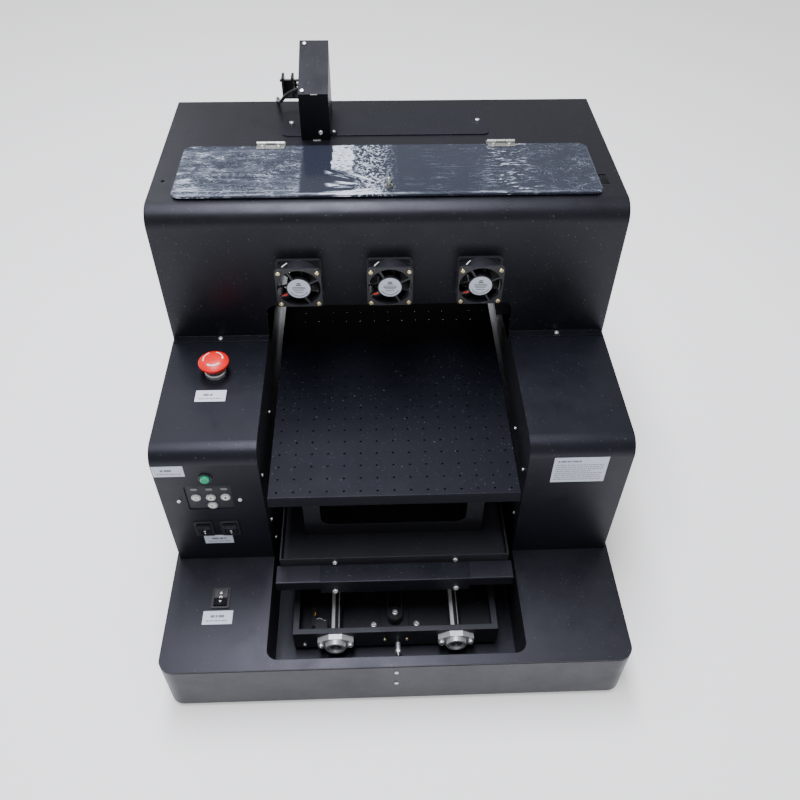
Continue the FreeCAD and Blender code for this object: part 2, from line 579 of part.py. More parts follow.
def make_lid():
    bottom = TOWER_TOP + LID_GAP
    top = bottom + LID_THICKNESS
    sheet = rounded(box(-LID_HALF_WIDTH, LID_HALF_WIDTH, LID_FRONT, LID_BACK, bottom, top), 13, Z_AXIS)
    save("lid_panel", sheet)

    fixed = []
    moving = []
    for x in (-HINGE_X, HINGE_X):
        a = -HINGE_HALF
        b = HINGE_HALF
        leaf = box(x + a, x + b, LID_AXIS_Y + 2.2, LID_AXIS_Y + 13, TOWER_TOP, TOWER_TOP + 1.2)
        web = box(x + a + 13, x + b - 13, LID_AXIS_Y + 1.0, LID_AXIS_Y + 3.4, TOWER_TOP, LID_AXIS_Z)
        knuckle = hinge_knuckles(x, [(a + 13, b - 13)], 1.4)
        pin = cylinder(x + a, LID_AXIS_Y, LID_AXIS_Z, 1.4, b - a, X_AXIS)
        fixed.append(join([leaf, web, pin] + knuckle))
        leaf = box(x + a, x + b, LID_AXIS_Y - 12.5, LID_AXIS_Y - 3.0, top, top + 1.2)
        ears = []
        for c, d in ((a, a + 12.6), (b - 12.6, b)):
            ears.append(box(x + c, x + d, LID_AXIS_Y - 3.4, LID_AXIS_Y - 1.2, top, LID_AXIS_Z + 1))
        knuckle = hinge_knuckles(x, [(a, a + 12.6), (b - 12.6, b)], 1.4 + RUNNING_CLEARANCE)
        hole = cylinder(x + a - 1, LID_AXIS_Y, LID_AXIS_Z, 1.4 + RUNNING_CLEARANCE, b - a + 2, X_AXIS)
        moving.append(join([leaf] + ears + knuckle).cut(hole))
        for dx in (-11, 11):
            moving.append(pan_screw(V(x + dx, LID_AXIS_Y - 7.6, top + 1.2), Z_AXIS, 2.8, 1.9, 0))
    save("hinge_fixed_leaves", fixed)
    base = cylinder(0.5, LID_FRONT + 17, top, 5.2, 4)
    neck = cylinder(0.5, LID_FRONT + 17, top + 4, 3.0, 3)
    nut = hex_bolt(V(0.5, LID_FRONT + 17, top + 7), Z_AXIS, 7.5, 5)
    dome = Part.makeSphere(3.2, V(0.5, LID_FRONT + 17, top + 12)).cut(
        box(-10, 10, LID_FRONT, LID_FRONT + 40, top, top + 12))
    save("lid_fittings", moving + [join([base, neck, nut, dome])])


# ---------------------------------------------------------------- bay frame and drive
def make_bay_frame():
    w = FRAME_HALF_WIDTH
    t = 2.0
    floor = box(-w, w, FRAME_FRONT, FRAME_BACK, FRAME_BOTTOM, FRAME_BOTTOM + t)
    front = box(-w, w, FRAME_FRONT, FRAME_FRONT + t, FRAME_BOTTOM, FRAME_TOP)
    front_flange = box(-w, w, FRAME_FRONT, FRAME_FRONT + 8, FRAME_TOP - t, FRAME_TOP)
    back = box(-w, w, FRAME_BACK - t, FRAME_BACK, FRAME_BOTTOM, FRAME_TOP)
    rail = box(-w, -w + t, FRAME_FRONT, FRAME_BACK, FRAME_BOTTOM, FRAME_TOP)
    rail_flange = box(-w, -w + 8.5, FRAME_FRONT, FRAME_BACK, FRAME_TOP - t, FRAME_TOP)
    legs = []
    for y in (FRAME_FRONT + 40, FRAME_BACK - 30):
        legs += pair(cylinder(w - 14, y, SHEET, 8, FRAME_BOTTOM - SHEET + 0.5))
    frame = join([floor, front, front_flange, back] + pair(rail) + pair(rail_flange) + legs)
    cuts = []
    for y in (FRAME_FRONT - 1, FRAME_BACK - t - 1):
        cuts += pair(cylinder(ROD_X, y, ROD_Z, ROD_RADIUS + 0.5, t + 2, Y_AXIS))
    cuts.append(cylinder(3, FRAME_FRONT - 1, TENSION_Z, 2.2, 4, Y_AXIS))
    save("bay_frame", frame.cut(cuts))


TENSION_Z = 17.0


def rod_support(x, face_y, outward):
    """Flanged shaft support: faceted oval flange and round boss, bored for the rod."""
    half_width = 25.0
    half_height = 15.5
    outline = [(-9, half_height), (9, half_height), (half_width, 6), (half_width, -6),
               (9, -half_height), (-9, -half_height), (-half_width, -6), (-half_width, 6)]
    points = [(x + dx, ROD_Z + dz) for dx, dz in outline]
    flange = xz_prism(points, face_y, face_y + 8 * outward)
    boss = cylinder(x, face_y, ROD_Z, 14.2, 15, V(0, outward, 0))
    boss = boss.makeFillet(1.5, [e for e in boss.Edges if abs(e.CenterOfMass.y - face_y) > 14.9])
    bore = cylinder(x, face_y - outward, ROD_Z, ROD_RADIUS, 18, V(0, outward, 0))
    counterbore = cylinder(x, face_y + 12.5 * outward, ROD_Z, 10.6, 4, V(0, outward, 0))
    return join([flange, boss]).cut([bore, counterbore])


def make_rods():
    supports = []
    bolts = []
    for face_y, outward in ((FRAME_FRONT, -1), (FRAME_BACK, 1)):
        for x in (-ROD_X, ROD_X):
            supports.append(rod_support(x, face_y, outward))
            for dx in (-20.5, 20.5):
                seat = V(x + dx, face_y + 8 * outward, ROD_Z)
                bolts.append(pan_screw(seat, V(0, outward, 0), 3.9, 4.4, 0))
    save("rod_supports", supports)
    rod_front = FRAME_FRONT - 11
    rod = cylinder(ROD_X, rod_front, ROD_Z, ROD_RADIUS, FRAME_BACK + 11 - rod_front, Y_AXIS)
    rod = rod.makeChamfer(0.8, [e for e in rod.Edges if e.Curve.TypeId == "Part::GeomCircle"])
    save("guide_rods", pair(rod))
    return bolts


def drive_pulley(y, lower, upper, bore):
    """Flanged belt pulley on a vertical axis."""
    middle = cylinder(0, y, lower, PULLEY_RADIUS, upper - lower)
    low = cylinder(0, y, lower, PULLEY_RADIUS + 1.6, BELT_Z - 0.4 - lower)
    high_bottom = BELT_Z + BELT_HEIGHT + 0.4
    high = cylinder(0, y, high_bottom, PULLEY_RADIUS + 1.6, upper - high_bottom)
    return join([middle, low, high]).cut(cylinder(0, y, lower - 1, bore, upper - lower + 2))


def belt_loop(radius):
    ends = [cylinder(0, y, BELT_Z, radius, BELT_HEIGHT) for y in (IDLER_Y, DRIVE_Y)]
    return join(ends + [box(-radius, radius, IDLER_Y, DRIVE_Y, BELT_Z, BELT_Z + BELT_HEIGHT)])


def make_drive():
    floor = FRAME_BOTTOM + 2
    plate = rounded(box(-20, 20, 93, 127, floor, floor + 2.5), 1.5, Z_AXIS)
    tab = box(-9, 9, 93, 95.5, floor, floor + 10)
    post = cylinder(0, IDLER_Y, floor, 2.5, IDLER_POST)
    tab_hole = cylinder(3, 92, TENSION_Z, 1.6, 6, Y_AXIS)
    save("idler_plate", join([plate, tab, post]).cut(tab_hole))
    # tension screw with its spring and nut, standing out in front of the frame
    shank = cylinder(3, 52, TENSION_Z, 1.5, 44.5, Y_AXIS)
    nut = hex_bolt(V(3, 56, TENSION_Z), Y_AXIS, 7, 3.2)
    washer = cylinder(3, 59.2, TENSION_Z, 4.6, 1, Y_AXIS)
    coils = [Part.makeTorus(2.9, 0.55, V(3, 60.9 + 1.6 * k, TENSION_Z), Y_AXIS) for k in range(7)]
    spring_core = cylinder(3, 60.2, TENSION_Z, 2.5, 11.8, Y_AXIS)
    save("tension_screw", join([shank, washer, spring_core, nut] + coils))

    idler_top = BELT_Z + BELT_HEIGHT + 3
    save("idler_pulley", drive_pulley(IDLER_Y, floor + 3, idler_top, 2.5 + RUNNING_CLEARANCE))
    save("drive_pulley", drive_pulley(DRIVE_Y, floor + 3, idler_top, 2.5 + RUNNING_CLEARANCE))

    save("drive_belt", belt_loop(BELT_X + 1.5).cut(belt_loop(BELT_X)))

    motor = box(-21, 21, DRIVE_Y - 21, DRIVE_Y + 21, 36, 72)
    motor = rounded(motor, 4, Z_AXIS)
    feet = pair(box(24, 28, DRIVE_Y - 15, DRIVE_Y + 15, floor, 37))
    bridge = box(-28, 28, DRIVE_Y - 15, DRIVE_Y + 15, 34, 37)
    shaft = cylinder(0, DRIVE_Y, floor + 0.5, 2.5, 24)
    save("drive_motor", join([motor, bridge, shaft] + feet))

    bracket = join([box(-128, -96, 84, 104, floor, floor + 2), box(-128, -112, 98, 130, floor, floor + 2)])
    body = rounded(box(-114, -97, 84, 104, floor, 31), 4, Z_AXIS, lambda p: p.x > -98 and p.y < 90)
    arm = box(-120, -114, 98, 128, floor, 24)
    save("limit_switch", join([bracket, body, arm]))

    case = box(196, 296, 230, 370, BASE_HEIGHT + 8, BASE_HEIGHT + 58)
    stand = box(206, 286, 240, 360, BASE_HEIGHT, BASE_HEIGHT + 8)
    save("power_supply", join([case, stand]))


# ---------------------------------------------------------------- carriage
def make_carriage():
    block_front = 300.0
    block_back = 390.0
    plate_bottom = 78.0
    parts = []
    length = block_back - block_front
    for x in (-ROD_X, ROD_X):
        block = box(x - 25, x + 25, block_front, block_back, 13, 50)
        bore = cylinder(x, block_front - 1, ROD_Z, ROD_RADIUS + RUNNING_CLEARANCE, length + 2, Y_AXIS)
        parts.append(block.cut(bore))
        parts.append(box(x - 25, x + 25, block_front, block_back, 50, plate_bottom))
    parts.append(box(-112, 112, block_front, block_back, plate_bottom, 98))
    # arm down to the left-hand run of the belt, with two jaws around it
    clamp_front = 314.0
    arm = box(-18, -13.2, clamp_front, clamp_front + 10, BELT_Z - 5, plate_bottom)
    jaw = box(-18, -5, clamp_front, clamp_front + 10, BELT_Z - 5, BELT_Z - 0.4)
    beam_bottom = 98.0
    top = TRAY_FLOOR - SHEET
    beam = box(69, 96, LEDGE_FRONT + SHEET, TRAY_BACK, beam_bottom, top)
    hollow = box(71, 94, LEDGE_FRONT + SHEET + 2, TRAY_BACK + 1, beam_bottom - 1, top - 2)
    save("carriage_saddle", [join(parts + [arm, jaw])] + pair(beam.cut(hollow)))

    w = TRAY_HALF_WIDTH
    wall = 2.5
    outer = box(-w, w, TRAY_FRONT, TRAY_BACK, top, TRAY_FLOOR + TRAY_WALL)
    inner = box(-w + wall, w - wall, TRAY_FRONT + SHEET, TRAY_BACK - SHEET,
                TRAY_FLOOR, TRAY_FLOOR + TRAY_WALL + 1)
    save("tray", outer.cut(inner))

    w = BED_WIDTH / 2
    ledge_top = box(-w, w, LEDGE_FRONT, TRAY_FRONT, top, TRAY_FLOOR)
    ledge_lip = box(-w, w, LEDGE_FRONT, LEDGE_FRONT + SHEET, TRAY_FLOOR - 18, TRAY_FLOOR)
    save("tray_ledge", rounded(join([ledge_top, ledge_lip]), 1.2, X_AXIS,
                               lambda p: p.y < LEDGE_FRONT + 0.1 and p.z > TRAY_FLOOR - 0.1))
    w = 102.0
    front = LEDGE_FRONT - SHEET
    plate = box(-w, w, front, 132, TRAY_FLOOR, TRAY_FLOOR + SHEET)
    lip = box(-w, w, front, LEDGE_FRONT, TRAY_FLOOR - 25, TRAY_FLOOR + SHEET)
    save("ledge_overlay", rounded(join([plate, lip]), 1.2, X_AXIS,
                                  lambda p: p.y < front + 0.1 and p.z > TRAY_FLOOR + 1))
    screws = []
    for x in (-82, 83.5):
        screws.append(pan_screw(V(x, front, 105.3), V(0, -1, 0), 4.0, 2.8))
        screws.append(pan_screw(V(x, TRAY_FRONT, 130.6), V(0, -1, 0), 3.4, 2.2))
    save("carriage_screws", screws)


def make_lift():
    w = 124.5
    y0 = 184.5
    y1 = 480.0
    top = BED_TOP - BED_LIP - 4
    outer = box(-w, w, y0, y1, TRAY_FLOOR, top)
    inner = box(-w + SHEET, w - SHEET, y0 + SHEET, y1 - SHEET, TRAY_FLOOR - 1, top + 1)
    window = rounded(box(-101, 101, y0 - 5, y1 + 5, 148, top - 10), 14, Y_AXIS)
    side_window = rounded(box(-w - 5, w + 5, y0 + 40, y1 - 40, 155, top - 12), 14, X_AXIS)
    housing = outer.cut(inner).cut([window, side_window])
    rods = pair(cylinder(60, LIFT_Y, TRAY_FLOOR, 5, BED_TOP - 5 - TRAY_FLOOR))
    save("lift_housing", [housing] + rods)

    motor = rounded(box(-21, 21, LIFT_Y - 21, LIFT_Y + 21, TRAY_FLOOR, TRAY_FLOOR + 36), 4, Z_AXIS)
    motor = motor.cut(cylinder(0, LIFT_Y, TRAY_FLOOR + 20, LIFT_SCREW_RADIUS + RUNNING_CLEARANCE, 30))
    save("lift_motor", motor)
    screw = cylinder(0, LIFT_Y, TRAY_FLOOR + 22, LIFT_SCREW_RADIUS, BED_TOP - 6 - TRAY_FLOOR - 22)
    coupler = cylinder(0, LIFT_Y, TRAY_FLOOR + 37, 9, 18)
    save("lift_screw", join([screw, coupler]))


def make_bed():
    w = BED_WIDTH / 2
    outer = box(-w, w, BED_FRONT, BED_FRONT + BED_LENGTH, BED_TOP - BED_LIP, BED_TOP)
    outer = rounded(outer, 2.0, X_AXIS, lambda p: p.z > BED_TOP - 0.1)
    inner = box(-w + SHEET, w - SHEET, BED_FRONT + SHEET, BED_FRONT + BED_LENGTH - SHEET,
                BED_TOP - BED_LIP - 1, BED_TOP - 2)
    first_x = -HOLE_PITCH_X * (HOLE_COLUMNS - 1) / 2
    first_y = BED_FRONT + (BED_LENGTH - HOLE_PITCH_Y * (HOLE_ROWS - 1)) / 2
    holes = []
    for column in range(HOLE_COLUMNS):
        for row in range(HOLE_ROWS):
            holes.append(cylinder(first_x + column * HOLE_PITCH_X, first_y + row * HOLE_PITCH_Y,
                                  BED_TOP - 4, HOLE_RADIUS, 6))
    save("bed_plate", outer.cut(inner).cut(Part.makeCompound(holes)))

    plate = box(-100, 100, LIFT_Y - 100, LIFT_Y + 100, 192, 196)
    posts = [box(sx * 85 - 8, sx * 85 + 8, LIFT_Y + sy * 85 - 8, LIFT_Y + sy * 85 + 8, 196, BED_TOP - 2)
             for sx in (-1, 1) for sy in (-1, 1)]
    bushings = pair(cylinder(60, LIFT_Y, 184, 9, 20))
    nut = cylinder(0, LIFT_Y, 186, 11, 14)
    bores = pair(cylinder(60, LIFT_Y, 180, 5 + RUNNING_CLEARANCE, 30))
    bores.append(cylinder(0, LIFT_Y, 180, LIFT_SCREW_RADIUS + RUNNING_CLEARANCE, 30))
    save("lift_crosshead", join([plate, nut] + posts + bushings).cut(bores))


# ---------------------------------------------------------------- print unit
def make_print_unit():
    beam = box(-292, 292, 530, 545, 345, 405)
    ends = pair(box(286, 292, 480, 530, 345, 395))
    shaft_y = 500.0
    shaft_z = 370.0
    shaft = cylinder(-292, shaft_y, shaft_z, 6, 584, X_AXIS)
    brackets = pair(box(292, TOWER_HALF_WIDTH - SHEET, 520, 545, 345, 405))
    save("x_guide", join([beam, shaft] + ends + brackets))

    centre = 238.0
    shell = box(centre - 45, centre + 45, 422, 516, 330, 432)
    shell = rounded(shell, 5, X_AXIS, lambda p: p.z > 430)
    bore = cylinder(centre - 50, shaft_y, shaft_z, 6 + RUNNING_CLEARANCE, 100, X_AXIS)
    lamp = box(centre - 80, centre - 45, 430, 490, 318, 362)
    head = box(centre - 24, centre + 24, 440, 476, 318, 330)
    nozzle_plate = box(centre - 18, centre + 18, 444, 472, 316, 318)
    save("print_carriage", [join([shell, lamp]).cut(bore), join([head, nozzle_plate])])


# ---------------------------------------------------------------- fasteners
def make_fasteners(bright):
    """Bright pan-head screws of the casings, and the brass ones."""
    up = Z_AXIS
    forward = V(0, -1, 0)
    for x in (-238.5, 238.5):
        bright.append(pan_screw(V(x, TOWER_FRONT - 6, SHELF_TOP + SHEET), up))
    for x, z in ((-281.4, 229), (-201.9, 229)):
        bright.append(pan_screw(V(x, SHELF_FRONT, z), forward, 2.8))
    for z in (45.3, 75.5):
        bright.append(pan_screw(V(-1.5, 0, z), forward, 2.6, BASE_SCREW_HEAD))
    for x, y in ((-134, 613), (133, 617)):
        bright.append(pan_screw(V(x, y, SLOT_PLATE_TOP), up, 3.2, 2.2, 2))
    for x in (-HINGE_X, HINGE_X):
        for dx in (-11, 11):
            bright.append(pan_screw(V(x + dx, LID_AXIS_Y + 8.6, TOWER_TOP + 1.2), up, 2.8, 1.9, 0))
    bright.append(pan_screw(V(-90.2, RISER_FRONT, 537.5), forward, 3.0))
    bright.append(pan_screw(V(RISER_RIGHT + 4.5, 583.5, SLOT_PLATE_TOP + SHEET), up, 2.6, 1.8, 0))
    slope = V(0, RISER_BACK - RISER_FRONT, RISER_BACK_TOP - RISER_FRONT_TOP).normalize()
    normal = V(0, -slope.z, slope.y)
    for x, along in ((-112.3, 6.0), (-110.5, 93.0)):
        bright.append(pan_screw(V(x, RISER_FRONT, RISER_FRONT_TOP) + slope * along, normal, 2.8, 1.9))
    bright.append(pan_screw(V(-123.5, 655, 565), forward, 2.8, 1.9, 0))
    inner = -TUNNEL_HALF_WIDTH
    for y, z in ((186, 260), (193, 153), (203, 95), (300, 258)):
        bright.append(pan_screw(V(inner, y, z), X_AXIS, 2.3, 1.6, 1))
    for y, z in ((190, 254), (195, 152), (264, 253)):
        bright.append(pan_screw(V(-inner, y, z), V(-1, 0, 0), 2.3, 1.6, 1))
    bright.append(pan_screw(V(-128.6, FRAME_FRONT, 19), forward, 2.6, 1.8))
    for x in (-31, 31):
        bright.append(pan_screw(V(x, 102, FRAME_BOTTOM + 2), up, 4.7, 3.2, 0))
    bright.append(pan_screw(V(0, IDLER_Y, FRAME_BOTTOM + 2 + IDLER_POST), up, 4.4, 3.0, 0))
    for x, z in ((-290, 110), (290, 110), (-290, 505), (290, 505), (-200, 345), (200, 345)):
        bright.append(pan_screw(V(x, BASE_DEPTH, z), Y_AXIS, 3.0, 2.0, 1))
    save("bright_screws", bright)

    brass = []
    front = TOWER_FRONT - FAN_DEPTH
    offset = FAN_SCREW_PITCH / 2
    for k in (-1, 0, 1):
        for sx in (-1, 1):
            for sz in (-1, 1):
                seat = V(k * FAN_PITCH + sx * offset, front, FAN_Z + sz * offset)
                brass.append(pan_screw(seat, forward, 3.1, 2.4, 5))
    for x in (-15.6, 15.6):
        brass.append(pan_screw(V(x, FRAME_FRONT, 26.8), forward, 2.7, 1.8))
    save("brass_screws", brass)


make_base()
make_bay_liner()
make_side_boxes()
make_tower()
make_riser()
make_hose()
make_controls()
make_labels()
make_fans()
make_lid()
make_bay_frame()
support_bolts = make_rods()
make_drive()
make_carriage()
make_lift()
make_bed()
make_print_unit()
make_fasteners(support_bolts)
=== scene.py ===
import bpy
import bmesh
import math
from mathutils import Matrix, Vector, noise


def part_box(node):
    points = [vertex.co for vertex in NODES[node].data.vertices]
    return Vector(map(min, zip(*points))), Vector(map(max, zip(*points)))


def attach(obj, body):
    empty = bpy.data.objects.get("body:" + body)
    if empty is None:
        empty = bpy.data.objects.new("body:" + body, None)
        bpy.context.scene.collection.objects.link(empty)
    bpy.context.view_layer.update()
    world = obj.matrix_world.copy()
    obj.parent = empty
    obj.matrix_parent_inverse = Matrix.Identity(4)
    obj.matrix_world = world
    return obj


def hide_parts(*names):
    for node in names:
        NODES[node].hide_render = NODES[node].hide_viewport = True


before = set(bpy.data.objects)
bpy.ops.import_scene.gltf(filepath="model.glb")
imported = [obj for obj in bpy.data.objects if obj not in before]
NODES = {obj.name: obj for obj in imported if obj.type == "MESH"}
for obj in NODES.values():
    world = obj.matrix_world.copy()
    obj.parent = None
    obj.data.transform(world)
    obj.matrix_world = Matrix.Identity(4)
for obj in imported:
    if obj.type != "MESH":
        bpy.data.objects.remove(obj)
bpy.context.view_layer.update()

MM = 0.001
RIGHT = Vector((1, 0, 0))
BACK = Vector((0, 1, 0))
FORWARD = Vector((0, -1, 0))
UP = Vector((0, 0, 1))
BOX_FRONT_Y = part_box("side_box_right")[0].y
BASE_TOP_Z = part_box("base_top_cover")[1].z


# ------------------------------------------------------------------ camera
CAMERA_PLACE = (-0.0221, -0.8215, 1.0865)
CAMERA_DOWN = math.radians(45.74)
CAMERA_TURN = math.radians(-2.533)
CAMERA_ROLL = math.radians(0.677)
LENS = 35.97
FRAMING_SHIFT = -0.0057


def make_camera():
    data = bpy.data.cameras.new("camera")
    data.lens = LENS
    data.sensor_width = 36
    data.shift_y = FRAMING_SHIFT
    camera = bpy.data.objects.new("camera", data)
    bpy.context.scene.collection.objects.link(camera)
    turn = Matrix.Rotation(CAMERA_TURN, 4, "Z")
    tilt = Matrix.Rotation(math.pi / 2 - CAMERA_DOWN, 4, "X")
    roll = Matrix.Rotation(CAMERA_ROLL, 4, "Z")
    camera.matrix_world = Matrix.Translation(CAMERA_PLACE) @ turn @ tilt @ roll
    bpy.context.scene.camera = camera


make_camera()


# ------------------------------------------------------------------ material nodes
BEVEL_SAMPLES = 4


class Shader:
    """A material whose nodes are added one by one."""

    def __init__(self, name):
        self.material = bpy.data.materials.new(name)
        self.material.use_nodes = True
        self.tree = self.material.node_tree
        self.surface = self.tree.nodes["Principled BSDF"]
        self.place = self.tree.nodes.new("ShaderNodeTexCoord").outputs["Object"]

    def node(self, kind, settings=(), **inputs):
        """A new node; inputs are named by their socket, or i0, i1 and so on by its number."""
        made = self.tree.nodes.new("ShaderNode" + kind)
        for key, value in dict(settings).items():
            setattr(made, key, value)
        for key, value in inputs.items():
            socket = made.inputs[int(key[1:])] if key[0] == "i" and key[1:].isdigit() else made.inputs[key]
            self.feed(socket, value)
        return made

    def feed(self, socket, value):
        if isinstance(value, bpy.types.NodeSocket):
            self.tree.links.new(value, socket)
        else:
            socket.default_value = value

    def set(self, name, value):
        self.feed(self.surface.inputs[name], value)

    def stretched(self, scale, turn=0.0):
        """Object coordinates scaled apart along each axis, turned about the vertical."""
        node = self.node("Mapping", Vector=self.place)
        node.inputs["Scale"].default_value = scale
        node.inputs["Rotation"].default_value = (0, 0, turn)
        return node.outputs[0]

    def noise(self, scale, detail=2.0, roughness=0.5, where=None, distortion=0.0):
        node = self.node("TexNoise", Vector=where or self.place, Scale=scale, Detail=detail,
                         Roughness=roughness, Distortion=distortion)
        return node.outputs["Fac"]

    def range(self, value, low, high, to_low=0.0, to_high=1.0):
        return self.node("MapRange", i0=value, i1=low, i2=high, i3=to_low, i4=to_high).outputs[0]

    def blend(self, share, first, second):
        node = self.node("Mix", {"data_type": "RGBA"})
        self.feed(node.inputs[0], share)
        self.feed(node.inputs[6], first)
        self.feed(node.inputs[7], second)
        return node.outputs[2]

    def math(self, operation, first, second=0.0):
        return self.node("Math", {"operation": operation, "use_clamp": False}, i0=first, i1=second).outputs[0]

    def bump(self, height, strength, depth, normal=None):
        node = self.node("Bump", Height=height, Strength=strength, Distance=depth)
        if normal is not None:
            self.feed(node.inputs["Normal"], normal)
        return node.outputs[0]

    def soft_edges(self, radius):
        return self.node("Bevel", {"samples": BEVEL_SAMPLES}, Radius=radius).outputs[0]


def shade_of(colour, factor):
    return tuple(min(1.0, c * factor) for c in colour) + (1.0,)


def powder_coat(name, colour, roughness=0.385, edge=1.0 * MM, grain=0.30, gloss=0.52):
    """Fine-textured coat: a pebbled bump, faint clouds of tone, dust and rubbed spots."""
    s = Shader(name)
    clouds = s.noise(7.0, 5.0, 0.6)
    fine = s.noise(1500.0, 2.0, 0.6)
    tone = s.math("ADD", s.range(clouds, 0.3, 0.7, 0.0, 0.6), s.range(fine, 0.3, 0.7, 0.0, 0.4))
    colour_now = s.blend(tone, shade_of(colour, 0.80), shade_of(colour, 1.22))
    dust = s.range(s.noise(420.0, 1.0), 0.735, 0.78)
    colour_now = s.blend(s.math("MULTIPLY", dust, 0.35), colour_now, (0.22, 0.23, 0.25, 1))
    s.set("Base Color", colour_now)
    rubbed = s.noise(24.0, 6.0, 0.65)
    s.set("Roughness", s.range(rubbed, 0.25, 0.75, roughness - 0.07, roughness + 0.08))
    edges = s.soft_edges(edge)
    s.set("Normal", s.bump(fine, grain, 0.25 * MM, edges))
    s.surface.inputs["Specular IOR Level"].default_value = gloss
    s.surface.inputs["Specular Tint"].default_value = (0.86, 0.87, 1.0, 1)
    return s.material


def plastic(name, colour, roughness, bump=0.15, scale=900.0, coat=0.0, edge=0.35 * MM):
    """Moulded plastic with a faint spark-eroded grain and handling marks."""
    s = Shader(name)
    grain = s.noise(scale, 3.0, 0.6)
    marks = s.noise(60.0, 5.0, 0.7)
    s.set("Base Color", s.blend(marks, shade_of(colour, 0.86), shade_of(colour, 1.14)))
    s.set("Roughness", s.range(marks, 0.2, 0.8, max(0.05, roughness - 0.06), roughness + 0.08))
    s.set("Normal", s.bump(grain, bump, 0.12 * MM, s.soft_edges(edge)))
    s.surface.inputs["Coat Weight"].default_value = coat
    s.surface.inputs["Coat Roughness"].default_value = 0.08
    return s.material


def metal(name, colour, roughness, brushed=(1, 1, 1), bump=0.1, scale=700.0, edge=0.3 * MM, shine=1.0):
    """Bare or plated metal; brushed stretches its fine lines."""
    s = Shader(name)
    s.surface.inputs["Metallic"].default_value = shine
    lines = s.noise(scale, 3.0, 0.6, s.stretched(brushed))
    stains = s.noise(90.0, 4.0, 0.65)
    s.set("Base Color", s.blend(stains, shade_of(colour, 0.78), shade_of(colour, 1.1)))
    s.set("Roughness", s.range(lines, 0.25, 0.75, max(0.04, roughness - 0.07), roughness + 0.09))
    s.set("Normal", s.bump(lines, bump, 0.08 * MM, s.soft_edges(edge)))
    return s.material


def label_paper(name, paper):
    """Coated sticker paper: faint fibres and a soft sheen."""
    s = Shader(name)
    fibres = s.noise(800.0, 3.0)
    s.set("Base Color", s.blend(fibres, shade_of(paper, 0.93), shade_of(paper, 1.05)))
    s.surface.inputs["Roughness"].default_value = 0.42
    s.set("Normal", s.bump(fibres, 0.08, 0.05 * MM, s.soft_edges(0.2 * MM)))
    return s.material


# One black powder coat in lighter and darker copies, each set to how brightly light falls on its parts:
# painted light and shade.
POWDER = powder_coat("powder_black", (0.0048, 0.0051, 0.0084), gloss=0.28)
POWDER_TOWER = powder_coat("powder_tower", (0.0034, 0.0034, 0.0054), gloss=0.34)
POWDER_RISER = powder_coat("powder_riser", (0.0038, 0.0040, 0.0048), gloss=0.11)
POWDER_BASE = powder_coat("powder_base", (0.0066, 0.0067, 0.0098), gloss=0.38)
BED_COAT = powder_coat("bed_coat", (0.0026, 0.0030, 0.0058), roughness=0.46, grain=0.22, gloss=0.16)
INNER = powder_coat("inner_black", (0.0085, 0.0087, 0.0100), roughness=0.5, edge=1.2 * MM)
BLACK_PLASTIC = plastic("black_plastic", (0.012, 0.012, 0.014), 0.38)
FAN_PLASTIC = plastic("fan_plastic", (0.016, 0.016, 0.020), 0.36)
ROTOR_PLASTIC = plastic("rotor_plastic", (0.008, 0.008, 0.010), 0.42)
ROCKER_PLASTIC = plastic("rocker_plastic", (0.010, 0.010, 0.013), 0.16, bump=0.05, coat=0.6)
GREEN = plastic("start_green", (0.012, 0.33, 0.16), 0.22, bump=0.05, coat=0.5)
RED = plastic("stop_red", (0.76, 0.0015, 0.0015), 0.42, bump=0.06)
KEY_SILVER = plastic("key_silver", (0.42, 0.43, 0.44), 0.35, bump=0.1)
LENS_GREY = plastic("indicator_grey", (0.16, 0.16, 0.165), 0.4)
WHITE_INK = plastic("white_ink", (0.80, 0.79, 0.76), 0.5)
DARK_INK = plastic("dark_ink", (0.03, 0.03, 0.035), 0.5)
GREY_INK = plastic("grey_ink", (0.14, 0.15, 0.18), 0.5)
RUBBER = plastic("rubber", (0.014, 0.014, 0.014), 0.62, bump=0.35, scale=500.0)
HOSE_RUBBER = plastic("hose_rubber", (0.011, 0.011, 0.012), 0.34, bump=0.1)
CHROME = metal("chrome", (0.86, 0.87, 0.90), 0.24, (1, 0.03, 1), 0.06, shine=0.55)
ZINC = metal("zinc", (0.84, 0.85, 0.86), 0.26, bump=0.08, shine=0.8)
CAST = metal("cast_alloy", (0.66, 0.67, 0.69), 0.40, bump=0.35, scale=1100.0, shine=0.7)
HINGE_STEEL = metal("hinge_steel", (0.36, 0.36, 0.34), 0.42, (0.05, 1, 1), 0.15)
BRASS = metal("brass", (0.80, 0.70, 0.42), 0.28)
DARK_METAL = metal("dark_metal", (0.05, 0.05, 0.055), 0.45, bump=0.2)
PALE_TAB = metal("pale_tab", (0.55, 0.54, 0.50), 0.45)


def rod_painted_reflections():
    """Ground chrome with painted reflections: light and dark bands painted into its colour by which way its
    side faces, in place of what a round rod mirrors.
    """
    s = Shader("rod_painted_reflections")
    split = s.node("SeparateXYZ", Vector=s.node("NewGeometry").outputs["Normal"])
    side = split.outputs["X"]
    # painted reflection: a wide bright band where the side faces left and a thin one where it faces right
    wide = s.math("MULTIPLY", s.range(side, -0.80, -0.70), s.range(side, -0.22, -0.12, 1.0, 0.0))
    thin = s.math("MULTIPLY", s.range(side, 0.46, 0.50), s.range(side, 0.60, 0.64, 1.0, 0.0))
    scratches = s.noise(900.0, 3.0, 0.6, s.stretched((1, 0.05, 1)))
    # painted reflection: the two bands together, painted into the base colour
    painted_reflection = s.math("MAXIMUM", wide, s.math("MULTIPLY", thin, 0.8))
    painted_reflection = s.math("MULTIPLY", painted_reflection, s.range(scratches, 0.2, 0.6, 0.75, 1.0))
    s.set("Base Color", s.blend(painted_reflection, (0.035, 0.037, 0.042, 1), (0.92, 0.93, 0.95, 1)))
    s.set("Roughness", s.range(scratches, 0.3, 0.7, 0.18, 0.30))
    s.set("Normal", s.bump(scratches, 0.05, 0.05 * MM))
    s.surface.inputs["Metallic"].default_value = 0.45
    return s.material


